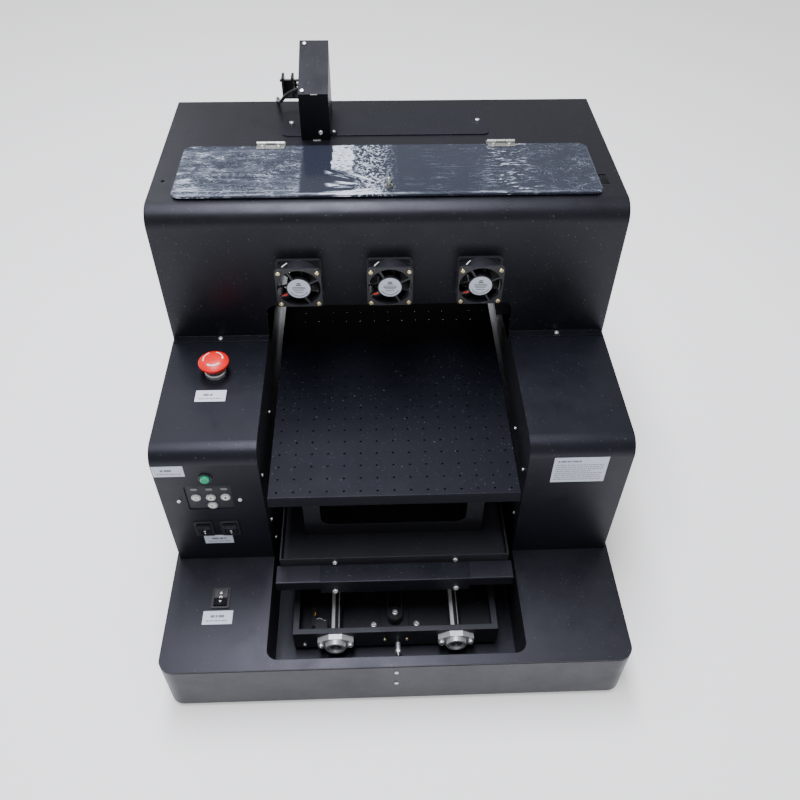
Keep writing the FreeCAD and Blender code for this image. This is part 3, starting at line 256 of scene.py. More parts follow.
ROD_PAINTED_REFLECTIONS = rod_painted_reflections()
LABEL = label_paper("sticker_paper", (0.56, 0.60, 0.69))
WIRE_RED = plastic("wire_red", (0.55, 0.03, 0.015), 0.4)
WIRE_WHITE = plastic("wire_white", (0.75, 0.75, 0.73), 0.4)
WIRE_AMBER = plastic("wire_amber", (0.70, 0.36, 0.04), 0.4)


def smoky_acrylic():
    s = Shader("smoky_acrylic")
    s.set("Base Color", s.blend(s.noise(12.0, 4.0), (0.010, 0.012, 0.020, 1), (0.018, 0.020, 0.030, 1)))
    s.set("Roughness", s.range(s.noise(150.0, 4.0), 0.3, 0.7, 0.10, 0.20))
    s.set("Normal", s.bump(s.noise(30.0, 2.0), 0.05, 0.2 * MM, s.soft_edges(0.5 * MM)))
    s.surface.inputs["Specular IOR Level"].default_value = 0.35
    return s.material


ACRYLIC = smoky_acrylic()

FINISHES = {
    "base_pan": POWDER_BASE, "base_top_cover": POWDER_BASE, "rubber_feet": RUBBER, "bay_liner": INNER,
    "side_box_left": POWDER, "side_box_right": POWDER, "tower_cover": POWDER_TOWER,
    "rear_panel": POWDER_TOWER, "slot_cover_plate": POWDER, "riser_box": POWDER_RISER,
    "riser_fork": DARK_METAL,
    "rear_fittings": BLACK_PLASTIC, "switch_bezels": BLACK_PLASTIC, "keypad_plate": INNER,
    "indicator_lenses": LENS_GREY, "estop_collar": ZINC, "fan_frames": FAN_PLASTIC,
    "hinge_fixed_leaves": HINGE_STEEL, "bay_frame": INNER, "rod_supports": CAST, "guide_rods": ROD_PAINTED_REFLECTIONS,
    "idler_plate": INNER, "tension_screw": ZINC, "drive_belt": RUBBER, "drive_motor": DARK_METAL,
    "limit_switch": BLACK_PLASTIC, "power_supply": DARK_METAL, "x_guide": INNER, "bright_screws": ZINC,
    # tray_ledge takes the lighter base copy so it comes out brighter than its overlay: painted light.
    "brass_screws": BRASS, "carriage_saddle": INNER, "tray": INNER, "tray_ledge": POWDER_BASE,
    "ledge_overlay": POWDER, "carriage_screws": ZINC, "lift_housing": INNER, "lift_motor": DARK_METAL,
    "bed_plate": BED_COAT, "lift_crosshead": INNER, "lift_screw": CHROME, "idler_pulley": BLACK_PLASTIC,
    "drive_pulley": CAST, "print_carriage": BLACK_PLASTIC, "lid_panel": ACRYLIC, "lid_fittings": HINGE_STEEL,
    "estop_stem": BLACK_PLASTIC, "start_button": GREEN, "key_1": KEY_SILVER, "key_2": KEY_SILVER,
    "key_3": KEY_SILVER, "key_4": KEY_SILVER, "rocker_left": ROCKER_PLASTIC, "rocker_right": ROCKER_PLASTIC,
    "rocker_base": ROCKER_PLASTIC, "fan_rotor_left": ROTOR_PLASTIC, "fan_rotor_middle": ROTOR_PLASTIC,
    "fan_rotor_right": ROTOR_PLASTIC, "labels": LABEL, "ink_hose": HOSE_RUBBER, "estop_head": RED,
}


def paint(piece, material):
    piece.data.materials.clear()
    piece.data.materials.append(material)


def finish_nodes():
    for name, node in NODES.items():
        paint(node, FINISHES[name])


finish_nodes()


# ------------------------------------------------------------------ mesh helpers
def piece_from(name, points, faces, material, body, smooth=True):
    mesh = bpy.data.meshes.new(name)
    mesh.from_pydata([tuple(p) for p in points], [], faces)
    mesh.update()
    work = bmesh.new()
    work.from_mesh(mesh)
    bmesh.ops.recalc_face_normals(work, faces=work.faces)
    work.to_mesh(mesh)
    work.free()
    for face in mesh.polygons:
        face.use_smooth = smooth
    made = bpy.data.objects.new(name, mesh)
    bpy.context.scene.collection.objects.link(made)
    paint(made, material)
    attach(made, body)
    return made


class Mesh:
    """Points and faces of one piece, gathered from several solids."""

    def __init__(self):
        self.points = []
        self.faces = []

    def add(self, points, faces):
        start = len(self.points)
        self.points += [Vector(p) for p in points]
        self.faces += [tuple(start + i for i in face) for face in faces]

    def slab(self, outline, thickness):
        """A thin solid from a closed outline of points and a vector through it."""
        n = len(outline)
        lower = [Vector(p) for p in outline]
        upper = [p + thickness for p in lower]
        sides = [(i, (i + 1) % n, n + (i + 1) % n, n + i) for i in range(n)]
        self.add(lower + upper, [tuple(range(n))[::-1], tuple(range(n, 2 * n))] + sides)

    def band(self, inner, outer, thickness):
        """A thin open strip between two equal rows of points."""
        n = len(inner)
        rows = [[Vector(p) for p in inner], [Vector(p) for p in outer]]
        rows += [[p + thickness for p in rows[0]], [p + thickness for p in rows[1]]]
        self.add(sum(rows, []), strip_faces(n))

    def tube(self, path, radius, sides=10):
        rings = [ring_points(path, i, radius, sides) for i in range(len(path))]
        faces = []
        for i in range(len(path) - 1):
            for k in range(sides):
                a = i * sides + k
                b = i * sides + (k + 1) % sides
                faces.append((a, b, b + sides, a + sides))
        faces.append(tuple(range(sides))[::-1])
        faces.append(tuple(range((len(path) - 1) * sides, len(path) * sides)))
        self.add(sum(rings, []), faces)

    def dome(self, foot, radius, height, rings=4, sides=18):
        """A round screw head standing on the point foot."""
        points = []
        for r in range(rings + 1):
            lift = 0.5 * math.pi * r / (rings + 1)
            for k in range(sides):
                a = 2 * math.pi * k / sides
                out = Vector((math.cos(a), math.sin(a), 0)) * radius * math.cos(lift)
                points.append(foot + out + Vector((0, 0, height * math.sin(lift))))
        faces = []
        for r in range(rings):
            for k in range(sides):
                a = r * sides + k
                b = r * sides + (k + 1) % sides
                faces.append((a, b, b + sides, a + sides))
        faces.append(tuple(range(sides))[::-1])
        faces.append(tuple(range(rings * sides, (rings + 1) * sides)))
        self.add(points, faces)

    def build(self, name, material, body, smooth=True):
        return piece_from(name, self.points, self.faces, material, body, smooth)


def strip_faces(n):
    """Faces of a strip with four rows of n points: inner, outer, raised inner, raised outer."""
    faces = []
    for i in range(n - 1):
        a, b, c, d = i, n + i, 2 * n + i, 3 * n + i
        faces += [(a, a + 1, b + 1, b), (c, d, d + 1, c + 1), (a, c, c + 1, a + 1), (b, b + 1, d + 1, d)]
    for i in (0, n - 1):
        faces.append((i, n + i, 3 * n + i, 2 * n + i))
    return faces


def ring_points(path, i, radius, sides):
    before = path[max(0, i - 1)]
    after = path[min(len(path) - 1, i + 1)]
    along = (after - before).normalized()
    side = along.cross(Vector((0.1, 0, 1))).normalized()
    up = side.cross(along)
    ring = []
    for k in range(sides):
        a = 2 * math.pi * k / sides
        ring.append(path[i] + (side * math.cos(a) + up * math.sin(a)) * radius)
    return ring


def curve_through(points, steps=8):
    """Smooth points along a Catmull-Rom line."""
    points = [Vector(p) for p in points]
    padded = [2 * points[0] - points[1]] + points + [2 * points[-1] - points[-2]]
    line = []
    for p0, p1, p2, p3 in zip(padded, padded[1:], padded[2:], padded[3:]):
        for k in range(steps):
            t = k / steps
            line.append(0.5 * (2 * p1 + (p2 - p0) * t + (2 * p0 - 5 * p1 + 4 * p2 - p3) * t ** 2
                               + (3 * p1 - p0 - 3 * p2 + p3) * t ** 3))
    line.append(points[-1])
    return line


def centre_of(node):
    low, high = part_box(node)
    return (low + high) / 2


# ------------------------------------------------------------------ the hose
FRAME_SHIFT = Vector((0, -0.35185, 0.010))    # from the part's own origin to the frame's
HOSE_ROUTE = [
    (-0.1215, 0.619, 0.575), (-0.1335, 0.6215, 0.5695), (-0.1425, 0.628, 0.5595),
    (-0.1483, 0.639, 0.5485), (-0.152, 0.653, 0.5405), (-0.1555, 0.668, 0.535),
    (-0.1585, 0.6835, 0.532), (-0.1608, 0.697, 0.5215), (-0.162, 0.703, 0.504),
    (-0.162, 0.703, 0.492), (-0.162, 0.6987, 0.4803), (-0.162, 0.687, 0.468),
]
HOSE_DIAMETER = 0.005


def make_hose():
    data = bpy.data.curves.new("ink_hose_line", "CURVE")
    data.dimensions = "3D"
    data.bevel_depth = HOSE_DIAMETER / 2
    data.bevel_resolution = 5
    data.resolution_u = 16
    data.use_fill_caps = True
    spline = data.splines.new("NURBS")
    spline.points.add(len(HOSE_ROUTE) - 1)
    for point, place in zip(spline.points, HOSE_ROUTE):
        point.co = (*(Vector(place) + FRAME_SHIFT), 1.0)
    spline.order_u = 3
    spline.use_endpoint_u = True
    hose = bpy.data.objects.new("ink_hose_line", data)
    bpy.context.scene.collection.objects.link(hose)
    data.materials.append(HOSE_RUBBER)
    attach(hose, "machine")
    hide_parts("ink_hose")


make_hose()


# ------------------------------------------------------------------ stop button
DOME_RADIUS = 20.3 * MM
DOME_RISE = 6.2 * MM
DOME_POWER = 3.2
DOME_RINGS = 26
DOME_SIDES = 72
NECK_RADIUS = 12.2 * MM
ARROW_TURNS = (48, 168, 288)
ARROW_RADIUS = 12.8 * MM
ARROW_HALF_WIDTH = 0.80 * MM
ARROW_HEAD_HALF_WIDTH = 2.1 * ARROW_HALF_WIDTH
ARROW_LIFT = 0.12 * MM
ARROW_STEPS = 14


def dome_height(r):
    """Height of the mushroom head over its rim, at a distance from its axis."""
    share = min(1.0, r / DOME_RADIUS)
    return DOME_RISE * (1.0 - share ** DOME_POWER)


def dome_point(centre, rim, r, angle):
    return Vector((centre.x + r * math.cos(angle), centre.y + r * math.sin(angle), rim + dome_height(r)))


def make_stop_head():
    """The mushroom head, turned from a profile that curls under its rim to the neck."""
    low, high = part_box("estop_head")
    centre = centre_of("estop_head")
    rim = high.z - dome_height(0)
    radii = [(DOME_RADIUS * math.sin(math.pi / 2 * k / DOME_RINGS)) for k in range(1, DOME_RINGS + 1)]
    outline = [(r, rim + dome_height(r)) for r in radii]
    below = [(20.3, -1.6), (19.9, -3.4), (18.7, -4.9), (16.6, -5.9), (13.6, -6.6), (12.6, -8.0)]
    outline += [(r * MM, rim + z * MM) for r, z in below if rim + z * MM > low.z]
    outline.append((NECK_RADIUS, low.z))
    points = [Vector((centre.x, centre.y, high.z))]
    for r, z in outline:
        for k in range(DOME_SIDES):
            a = 2 * math.pi * k / DOME_SIDES
            points.append(Vector((centre.x + r * math.cos(a), centre.y + r * math.sin(a), z)))
    faces = [(0, 1 + k, 1 + (k + 1) % DOME_SIDES) for k in range(DOME_SIDES)]
    for i in range(len(outline) - 1):
        for k in range(DOME_SIDES):
            a = 1 + i * DOME_SIDES + k
            b = 1 + i * DOME_SIDES + (k + 1) % DOME_SIDES
            faces.append((a, a + DOME_SIDES, b + DOME_SIDES, b))
    last = 1 + (len(outline) - 1) * DOME_SIDES
    faces.append(tuple(last + k for k in range(DOME_SIDES)))
    mesh = Mesh()
    mesh.add(points, faces)
    head = mesh.build("stop_head", RED, "estop_head")
    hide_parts("estop_head")
    make_stop_arrows(centre, rim)


def make_stop_arrows(centre, rim):
    """Three curved arrows round the top, which show the way to twist it free."""
    arrows = Mesh()
    sink = UP * ARROW_LIFT
    for turn in ARROW_TURNS:
        inner = []
        outer = []
        for k in range(ARROW_STEPS + 1):
            a = math.radians(turn - 36 + 66 * k / ARROW_STEPS)
            inner.append(dome_point(centre, rim, ARROW_RADIUS - ARROW_HALF_WIDTH, a) - sink)
            outer.append(dome_point(centre, rim, ARROW_RADIUS + ARROW_HALF_WIDTH, a) - sink)
        arrows.band(inner, outer, 2.5 * sink)
        back = math.radians(turn - 36)
        tip = math.radians(turn - 54)
        head = [
            dome_point(centre, rim, ARROW_RADIUS - ARROW_HEAD_HALF_WIDTH, back),
            dome_point(centre, rim, ARROW_RADIUS + ARROW_HEAD_HALF_WIDTH, back),
            dome_point(centre, rim, ARROW_RADIUS, tip),
        ]
        arrows.slab([p - sink for p in head], 3 * sink)
    arrows.build("stop_head_arrows", WHITE_INK, "estop_head", smooth=False)


make_stop_head()


# ------------------------------------------------------------------ marks on keys and rockers
def disc(centre, radius, u, v, sides=28):
    angles = [2 * math.pi * k / sides for k in range(sides)]
    return [centre + (u * math.cos(a) + v * math.sin(a)) * radius for a in angles]


def ring_mark(mesh, centre, inner, outer, u, v, thickness, start=0.0, sweep=360.0, sides=28):
    angles = [math.radians(start + sweep * k / sides) for k in range(sides + 1)]
    rows = [[centre + (u * math.cos(a) + v * math.sin(a)) * r for a in angles] for r in (inner, outer)]
    mesh.band(rows[0], rows[1], thickness)


def triangle(centre, size, u, v):
    foot = centre - v * size * 0.6
    return [centre + v * size, foot - u * size * 0.9, foot + u * size * 0.9]


KEY_PAD_RADIUS = 4.1 * MM
KEY_PAD_SINK = 0.02 * MM
INK_ON_KEY = 0.14 * MM
INK_ON_ROCKER = 0.12 * MM
ROCKER_FACET_RISE = 2.0 / 11.95
ROCKER_MIDDLE_HEIGHT = 2.45
FRONT_ROCKER_Z = 0.1765


def draw_key_mark(mark, number, face, out):
    """A meaningless sign for each key: a ring, a triangle, a dot and a broken ring."""
    if number == 1:
        ring_mark(mark, face, 1.2 * MM, 1.9 * MM, RIGHT, UP, out)
    elif number == 2:
        mark.slab(triangle(face, 2.0 * MM, RIGHT, UP), out)
    elif number == 3:
        mark.slab(disc(face + UP * 0.2 * MM, 1.8 * MM, RIGHT, UP), out)
    else:
        ring_mark(mark, face, 1.3 * MM, 2.0 * MM, RIGHT, UP, out, 60, 270)
        mark.slab(triangle(face + UP * 1.6 * MM, 1.0 * MM, UP, RIGHT), out)


def make_key_marks():
    out = FORWARD * INK_ON_KEY
    for number in range(1, 5):
        key = "key_%d" % number
        low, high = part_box(key)
        centre = Vector(((low.x + high.x) / 2, low.y - KEY_PAD_SINK, (low.z + high.z) / 2))
        pad = Mesh()
        pad.slab(disc(centre, KEY_PAD_RADIUS, RIGHT, UP), out)
        pad.build(key + "_pad", WHITE_INK, key, smooth=False)
        mark = Mesh()
        draw_key_mark(mark, number, centre + out, out)
        mark.build(key + "_mark", DARK_INK, key, smooth=False)


make_key_marks()


def make_rocker_marks(name, facing_front, tilt, marks):
    """Marks on a rocker's facets; each is (kind, distance along the rocker, size)."""
    centre = centre_of(name)
    if facing_front:
        origin = Vector((centre.x, BOX_FRONT_Y, FRONT_ROCKER_Z))
        turn = Matrix.Rotation(math.pi / 2, 3, "X")
    else:
        origin = Vector((centre.x, centre.y, BASE_TOP_Z))
        turn = Matrix.Identity(3)
    turn = turn @ Matrix.Rotation(math.radians(tilt), 3, "X")
    across = turn @ RIGHT
    mesh = Mesh()
    for kind, along, size in marks:
        rise = abs(along) * ROCKER_FACET_RISE
        slope = ROCKER_FACET_RISE if along > 0 else -ROCKER_FACET_RISE
        up = turn @ Vector((0, 1, slope)).normalized()
        out = turn @ Vector((0, -slope, 1)).normalized() * INK_ON_ROCKER
        place = origin + turn @ Vector((0, along * MM, (ROCKER_MIDDLE_HEIGHT + rise) * MM))
        if kind == "ring":
            ring_mark(mesh, place, size * 0.5 * MM, size * MM, across, up, out)
        elif kind == "up":
            mesh.slab(triangle(place, size * MM, across, up), out)
        else:
            mesh.slab(triangle(place, size * MM, -across, -up), out)
    mesh.build(name + "_marks", WHITE_INK, name, smooth=False)


FRONT_MARKS = [("ring", -4.2, 1.5), ("down", -8.6, 1.5)]
BASE_MARKS = [("up", 6.6, 2.3), ("ring", 0.4, 2.2), ("down", -6.0, 2.2)]
make_rocker_marks("rocker_left", True, 8.0, FRONT_MARKS)
make_rocker_marks("rocker_right", True, 8.0, FRONT_MARKS)
make_rocker_marks("rocker_base", False, 0.0, BASE_MARKS)


# ------------------------------------------------------------------ stickers
BAR_LENGTHS = (2.2, 1.1, 2.8, 1.6, 0.8, 2.4, 1.3)
PAPER_LIFT = 0.32 * MM
INK_ON_PAPER = 0.05 * MM
NOTICE_ROWS = (61, 62, 60, 62, 48, 62, 61, 62)
FLAT = (BACK, UP)
UPRIGHT = (UP, FORWARD)
STICKERS = [
    ((-0.2586, -0.09035, 0.331), 40, 20.5, FLAT),
    ((-0.304, BOX_FRONT_Y, 0.2895), 39.5, 20, UPRIGHT),
    ((-0.2626, BOX_FRONT_Y, 0.1405), 39.3, 18.8, UPRIGHT),
    ((-0.2609, -0.28485, BASE_TOP_Z), 40, 20, FLAT),
]
NOTICE_CORNER = (0.2035, BOX_FRONT_Y, 0.2606)


def sticker_row(mesh, start, up, out, width, height, gap, seed):
    """A row of meaningless bars of uneven length, in place of lettering; sizes in millimetres."""
    along = 0.0
    count = seed
    while True:
        length = BAR_LENGTHS[count % len(BAR_LENGTHS)] * height * 0.9
        if along + length > width:
            break
        foot = start + RIGHT * along * MM
        end = foot + RIGHT * length * MM
        mesh.slab([foot, end, end + up * height * MM, foot + up * height * MM], out)
        along += length + gap
        count += 1


def make_sticker_marks():
    """Each sticker has a corner, a width, a height, and the way up and the way out."""
    marks = Mesh()
    for number, (corner, width, height, (up, facing)) in enumerate(STICKERS):
        face = Vector(corner) + facing * PAPER_LIFT
        out = facing * INK_ON_PAPER
        place = face + RIGHT * width * 0.26 * MM + up * height * 0.50 * MM
        sticker_row(marks, place, up, out, width * 0.52, 3.6, 1.4, number)
        place = face + RIGHT * width * 0.12 * MM + up * height * 0.22 * MM
        sticker_row(marks, place, up, out, width * 0.78, 1.5, 0.8, number + 2)
    up, facing = UPRIGHT
    face = Vector(NOTICE_CORNER) + facing * PAPER_LIFT
    out = facing * INK_ON_PAPER
    sticker_row(marks, face + RIGHT * 5 * MM + up * 40 * MM, up, out, 34, 2.8, 1.0, 1)
    for row, width in enumerate(NOTICE_ROWS):
        place = face + RIGHT * 4 * MM + up * (5 + row * 4.1) * MM
        sticker_row(marks, place, up, out, width, 1.3, 0.9, row)
    marks.build("sticker_marks", GREY_INK, "machine", smooth=False)


make_sticker_marks()


# ------------------------------------------------------------------ fans
LEAD_ANGLE = math.radians(208)
HUB_BARS = ((7.4, 2.4), (4.8, 3.4), (1.6, 8.2), (-0.6, 8.6), (-2.8, 6.8), (-6.2, 5.4))


def fan_lead(start, along, first, second, radius, name, material):
    """A short lead from the hub outwards that dips behind the frame's rim."""
    middle = start + along * first
    end = start + along * second + BACK * 2.0 * MM
    lead = Mesh()
    lead.tube(curve_through([start, middle, end], 5), radius)
    lead.build(name, material, "machine")


def make_fan_leads(name, rotor, front):
    along = RIGHT * math.cos(LEAD_ANGLE) + UP * math.sin(LEAD_ANGLE)
    beside = Vector((-along.z, 0, along.x))
    hub = Vector((rotor.x, front - 0.9 * MM, rotor.z))
    start = hub + along * 17.5 * MM
    fan_lead(start, along, 4 * MM, 8.2 * MM, 1.0 * MM, "fan_lead_" + name, WIRE_RED)
    start = hub + along * 17.0 * MM + beside * 2.1 * MM
    dark_name = "fan_lead_dark_" + name
    fan_lead(start, along, 4.5 * MM, 9 * MM, 0.95 * MM, dark_name, BLACK_PLASTIC)
    corner = Vector((rotor.x - 20 * MM, front + 7 * MM, rotor.z + 29.2 * MM))
    bends = [corner, corner + Vector((3.2, 4.5, 0.4)) * MM, corner + Vector((6, 9, -0.4)) * MM]
    pale = Mesh()
    pale.tube(curve_through(bends, 5), 0.75 * MM)
    pale.build("fan_lead_pale_" + name, WIRE_WHITE, "machine")


def make_hub_marks(name, rotor, front):
    """A part ring and bars on the hub's round label; each bar is (height, half its length)."""
    mark = Mesh()
    face = Vector((rotor.x, front - 0.32 * MM, rotor.z))
    out = FORWARD * 0.1 * MM
    ring_mark(mark, face, 11.9 * MM, 12.6 * MM, RIGHT, UP, out, 205, 130, 20)
    for row, half in HUB_BARS:
        height = 0.8 if row < 4 else 1.5
        middle = face + UP * row * MM
        start = middle - RIGHT * half * MM
        end = middle + RIGHT * half * MM
        mark.slab([start, end, end + UP * height * MM, start + UP * height * MM], out)
    mark.build("fan_label_marks_" + name, DARK_INK, "machine", smooth=False)


def make_fan_details():
    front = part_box("fan_frames")[0].y
    for name in ("left", "middle", "right"):
        rotor = centre_of("fan_rotor_" + name)
        make_fan_leads(name, rotor, front)
        make_hub_marks(name, rotor, front)


make_fan_details()


# ------------------------------------------------------------------ film on the lid
FILM_EDGE = 0.6 * MM
FILM_CORNER = 13 * MM
FILM_COLUMNS = 420
FILM_ROWS = 96
FILM_GAP = 0.12 * MM
FILM_TURN_DOWN = 1.6 * MM
FILM_TURN_WIDTH = 1.5 * MM
KNOB_X = 0.5 * MM
KNOB_INSET = 17 * MM
KNOB_Y = 0.0812
KNOB_CLEAR = 6 * MM
HINGE_X = 158 * MM
HINGE_REACH = 24 * MM
HINGE_DEPTH = 14 * MM


def zone(x, start, end, soft=8 * MM):
    """1 between start and end, easing to 0 outside."""
    rise = min(1.0, max(0.0, (x - start) / soft + 0.5))
    fall = min(1.0, max(0.0, (end - x) / soft + 0.5))
    return rise * fall


def ridge(x, y, across, along, seed):
    value = noise.noise(Vector((x * across, y * along, seed)))
    return (1.0 - min(1.0, abs(value) * 3.2)) ** 2


def film_height(x, y):
    """Crinkles of the loose film: small and dense at the left, combed and curled at the right."""
    dense = zone(x, -0.280, -0.115)
    patch = zone(x, -0.070, 0.012)
    combed = zone(x, 0.008, 0.150, 30 * MM)
    curled = zone(x, 0.110, 0.280, 30 * MM)
    height = 0.10 + 0.55 * noise.noise(Vector((x * 22, y * 60, 3)))
    height += dense * (0.8 * ridge(x, y, 55, 190, 1.0) + 0.5 * ridge(x, y, 150, 260, 5.0))
    height += patch * (0.7 * ridge(x, y, 260, 260, 8.0))
    height += combed * 0.7 * ridge(x + 0.9 * y, y, 25, 150, 11.0)
    height += curled * (0.8 * ridge(x, y, 60, 75, 14.0) + 0.4 * ridge(x, y, 170, 120, 17.0))
    return max(0.0, height) * MM


def film_flatness(x, y, edge, knob, back):
    """1 where the film is loose, 0 where its rim, the knob or a hinge holds it down."""
    if abs(abs(x) - HINGE_X) < HINGE_REACH and y > back - HINGE_DEPTH:
        return 0.0
    near_rim = min(1.0, edge / (4 * MM))
    near_knob = ((Vector((x, y)) - knob).length - KNOB_CLEAR) / (8 * MM)
    return near_rim * min(1.0, max(0.0, near_knob))


def make_film():
    low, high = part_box("lid_panel")
    middle = (low + high) / 2
    half_width = (high.x - low.x) / 2 + FILM_EDGE
    half_depth = (high.y - low.y) / 2 + FILM_EDGE
    knob = Vector((KNOB_X, low.y + KNOB_INSET))
    points = []
    for i in range(FILM_COLUMNS + 1):
        x = -half_width + 2 * half_width * i / FILM_COLUMNS
        inside = max(0.0, abs(x) - (half_width - FILM_CORNER))
        inset = FILM_CORNER - math.sqrt(max(0.0, FILM_CORNER ** 2 - inside ** 2))
        reach = half_depth - inset
        for j in range(FILM_ROWS + 1):
            y = middle.y - reach + 2 * reach * j / FILM_ROWS
            edge = min(reach - abs(y - middle.y), half_width - abs(x))
            loose = film_flatness(x, y, edge, knob, high.y)
            wave = film_height(x, y) * (0.25 + 0.75 * loose) if loose > 0 else 0.0
            drop = FILM_TURN_DOWN * max(0.0, 1.0 - edge / FILM_TURN_WIDTH)
            points.append(Vector((x, y, high.z + FILM_GAP + wave - drop)))
    rows = FILM_ROWS + 1
    faces = []
    for i in range(FILM_COLUMNS):
        for j in range(FILM_ROWS):
            a = i * rows + j
            faces.append((a, a + rows, a + rows + 1, a + 1))
    film = piece_from("lid_film", points, faces, film_material(), "lid")


class Film(Shader):
    """Clear film: white where it stands off the panel in creases, with painted glare and painted sheen,
    glossy all over.

    Each layer is how white the film is there, from 0 to 1, and the whitest layer shows.
    """

    def __init__(self):
        super().__init__("film")
        split = self.node("SeparateXYZ", Vector=self.place)
        self.x = split.outputs["X"]
        self.y = split.outputs["Y"]

    def scaled(self, value, *factors):
        for factor in factors:
            value = self.math("MULTIPLY", value, factor)
        return value

    def band(self, start, end, soft):
        """1 from start to end across the lid, with soft ends."""
        rise = self.range(self.x, start - soft, start + soft)
        fall = self.range(self.x, end - soft, end + soft, 1.0, 0.0)
        return self.math("MULTIPLY", rise, fall)

    def flecks(self, scale, low, high, turn=0.0, detail=3.0):
        return self.range(self.noise(1.0, detail, 0.62, self.stretched(scale, turn)), low, high)

    def creases(self, scale, width, turn=0.0, distortion=0.0, patchy=45.0):
        """Thin lines where a noise crosses its middle, fading in and out in patches."""
        value = self.noise(1.0, 3.0, 0.55, self.stretched(scale, turn), distortion)
        away = self.math("ABSOLUTE", self.math("SUBTRACT", value, 0.5))
        line = self.range(away, 0.0, width, 1.0, 0.0)
        return self.math("MULTIPLY", line, self.range(self.noise(patchy, 2.0), 0.38, 0.60))

    def left_layers(self):
        """Dense small crinkles over the left third, with broad streaks of painted sheen."""
        left = self.band(-0.30, -0.114, 0.002)
        left_end = self.band(-0.30, -0.235, 0.012)
        return [
            self.scaled(left, self.creases((24, 130, 1), 0.034), 0.58),
            self.scaled(left, self.creases((26, 100, 1), 0.022, 0.45, 1.2), 0.80),
            self.scaled(left, self.creases((75, 90, 1), 0.018, -0.7, 2.0, 70.0), 0.55),
            # painted sheen: broad soft white streaks, a painted highlight
            self.scaled(left, self.flecks((9, 75, 1), 0.42, 0.74, 0.12), 0.34),
            self.scaled(left, self.flecks((220, 430, 1), 0.63, 0.70), 0.60),
            self.scaled(left_end, self.flecks((45, 150, 1), 0.47, 0.66, 0.5), 0.70),
            self.scaled(left, 0.045),
        ]

    def glare_layers(self):
        """Painted glare: the white patch left of the knob, a painted reflection of a lamp, its speckled side,
        and the sweeps that lead to the knob.
        """
        ragged = self.math("ADD", self.x, self.math("MULTIPLY", self.noise(90.0, 3.0), 0.012))
        slant = self.math("ADD", self.y, self.math("MULTIPLY", self.x, 0.45))
        start = self.range(ragged, -0.0690, -0.0675)
        end = self.range(ragged, -0.0400, -0.0370, 1.0, 0.0)
        solid = self.range(self.noise(1.0, 4.0, 0.6, self.stretched((160, 420, 1))), 0.39, 0.47)
        # painted reflection: the white glare patch, painted into the film's colour
        painted_glare_patch = self.scaled(start, end, self.range(slant, 0.092, 0.098), solid)

        speckle = self.flecks((300, 330, 1), 0.50, 0.56, 0.2, 2.0)
        beside = self.range(self.x, -0.046, -0.040)
        speckle = self.scaled(speckle, beside, self.range(self.x, -0.012, 0.016, 1.0, 0.0), 0.72)

        dx = self.math("SUBTRACT", self.x, KNOB_X)
        dy = self.math("SUBTRACT", self.y, KNOB_Y)
        angle = self.math("ARCTAN2", dy, self.math("MULTIPLY", dx, -1.0))
        squares = self.math("ADD", self.math("MULTIPLY", dx, dx), self.math("MULTIPLY", dy, dy))
        reach = self.math("SQRT", squares)
        across = self.math("MULTIPLY", angle, 5.2)
        fan = self.node("CombineXYZ", X=across, Y=self.math("MULTIPLY", reach, 14.0))
        sweeps = self.range(self.noise(1.0, 3.0, 0.5, fan.outputs[0]), 0.50, 0.56)
        near = self.scaled(self.range(ragged, -0.078, -0.070), self.range(self.x, -0.022, -0.006, 1.0, 0.0),
                           self.range(slant, 0.092, 0.1, 1.0, 0.0))
        return [self.scaled(painted_glare_patch, 0.88), speckle, self.scaled(sweeps, near, 0.85)]

    def right_layers(self):
        """Combed creases right of the knob, then curled ones to the right end."""
        combed = self.band(0.012, 0.170, 0.02)
        speckled = self.band(0.130, 0.192, 0.014)
        curled = self.band(0.120, 0.30, 0.020)
        end = self.band(0.180, 0.30, 0.010)
        return [
            self.scaled(combed, self.creases((11, 150, 1), 0.016, 0.42, 0.6), 0.34),
            self.scaled(speckled, self.flecks((70, 330, 1), 0.55, 0.66), 0.80),
            self.scaled(curled, self.creases((40, 60, 1), 0.016, 0.3, 2.5, 60.0), 0.50),
            self.scaled(end, self.creases((16, 130, 1), 0.024, -0.2, 1.0), 0.30),
            self.scaled(self.band(-0.050, 0.30, 0.020), 0.022),
        ]

    def rim_layers(self):
        """A long fold near the front at the left, and the pale turned-down rim."""
        left = self.band(-0.30, -0.114, 0.002)
        wavy = self.math("ADD", self.y, self.math("MULTIPLY", self.noise(14.0, 2.0), 0.006))
        from_fold = self.math("ABSOLUTE", self.math("SUBTRACT", wavy, 0.0785))
        fold = self.range(from_fold, 0.0, 0.0020, 1.0, 0.0)
        front = self.scaled(self.range(wavy, 0.0735, 0.0715), self.range(wavy, 0.0680, 0.0695))
        return [
            self.scaled(fold, left, 0.55),
            self.scaled(front, self.flecks((18, 90, 1), 0.40, 0.56), 0.50),
            self.scaled(front, self.band(-0.092, -0.006, 0.006), 0.90),
            self.scaled(self.range(self.x, 0.2725, 0.2748), 0.40),
        ]


def film_material():
    s = Film()
    white = 0.0
    for layer in s.left_layers() + s.glare_layers() + s.right_layers() + s.rim_layers():
        white = s.math("MAXIMUM", layer, white)
    s.set("Base Color", s.blend(white, (0.13, 0.165, 0.24, 1), (0.64, 0.68, 0.75, 1)))
    s.surface.inputs["Roughness"].default_value = 0.22
    s.surface.inputs["Specular IOR Level"].default_value = 0.22
    s.set("Alpha", s.math("ADD", 0.03, s.math("MULTIPLY", white, 0.95)))
    s.set("Normal", s.bump(s.noise(260.0, 3.0), 0.30, 0.4 * MM))
    return s.material


make_film()


# ------------------------------------------------------------------ small pieces: bay, hinges and riser
HINGE_SCREW_SPREAD = 11 * MM
HINGE_SCREW_INSET = 4.6 * MM
HINGE_LEAF = 1.2 * MM
RISER_FOLD_Z = 0.602


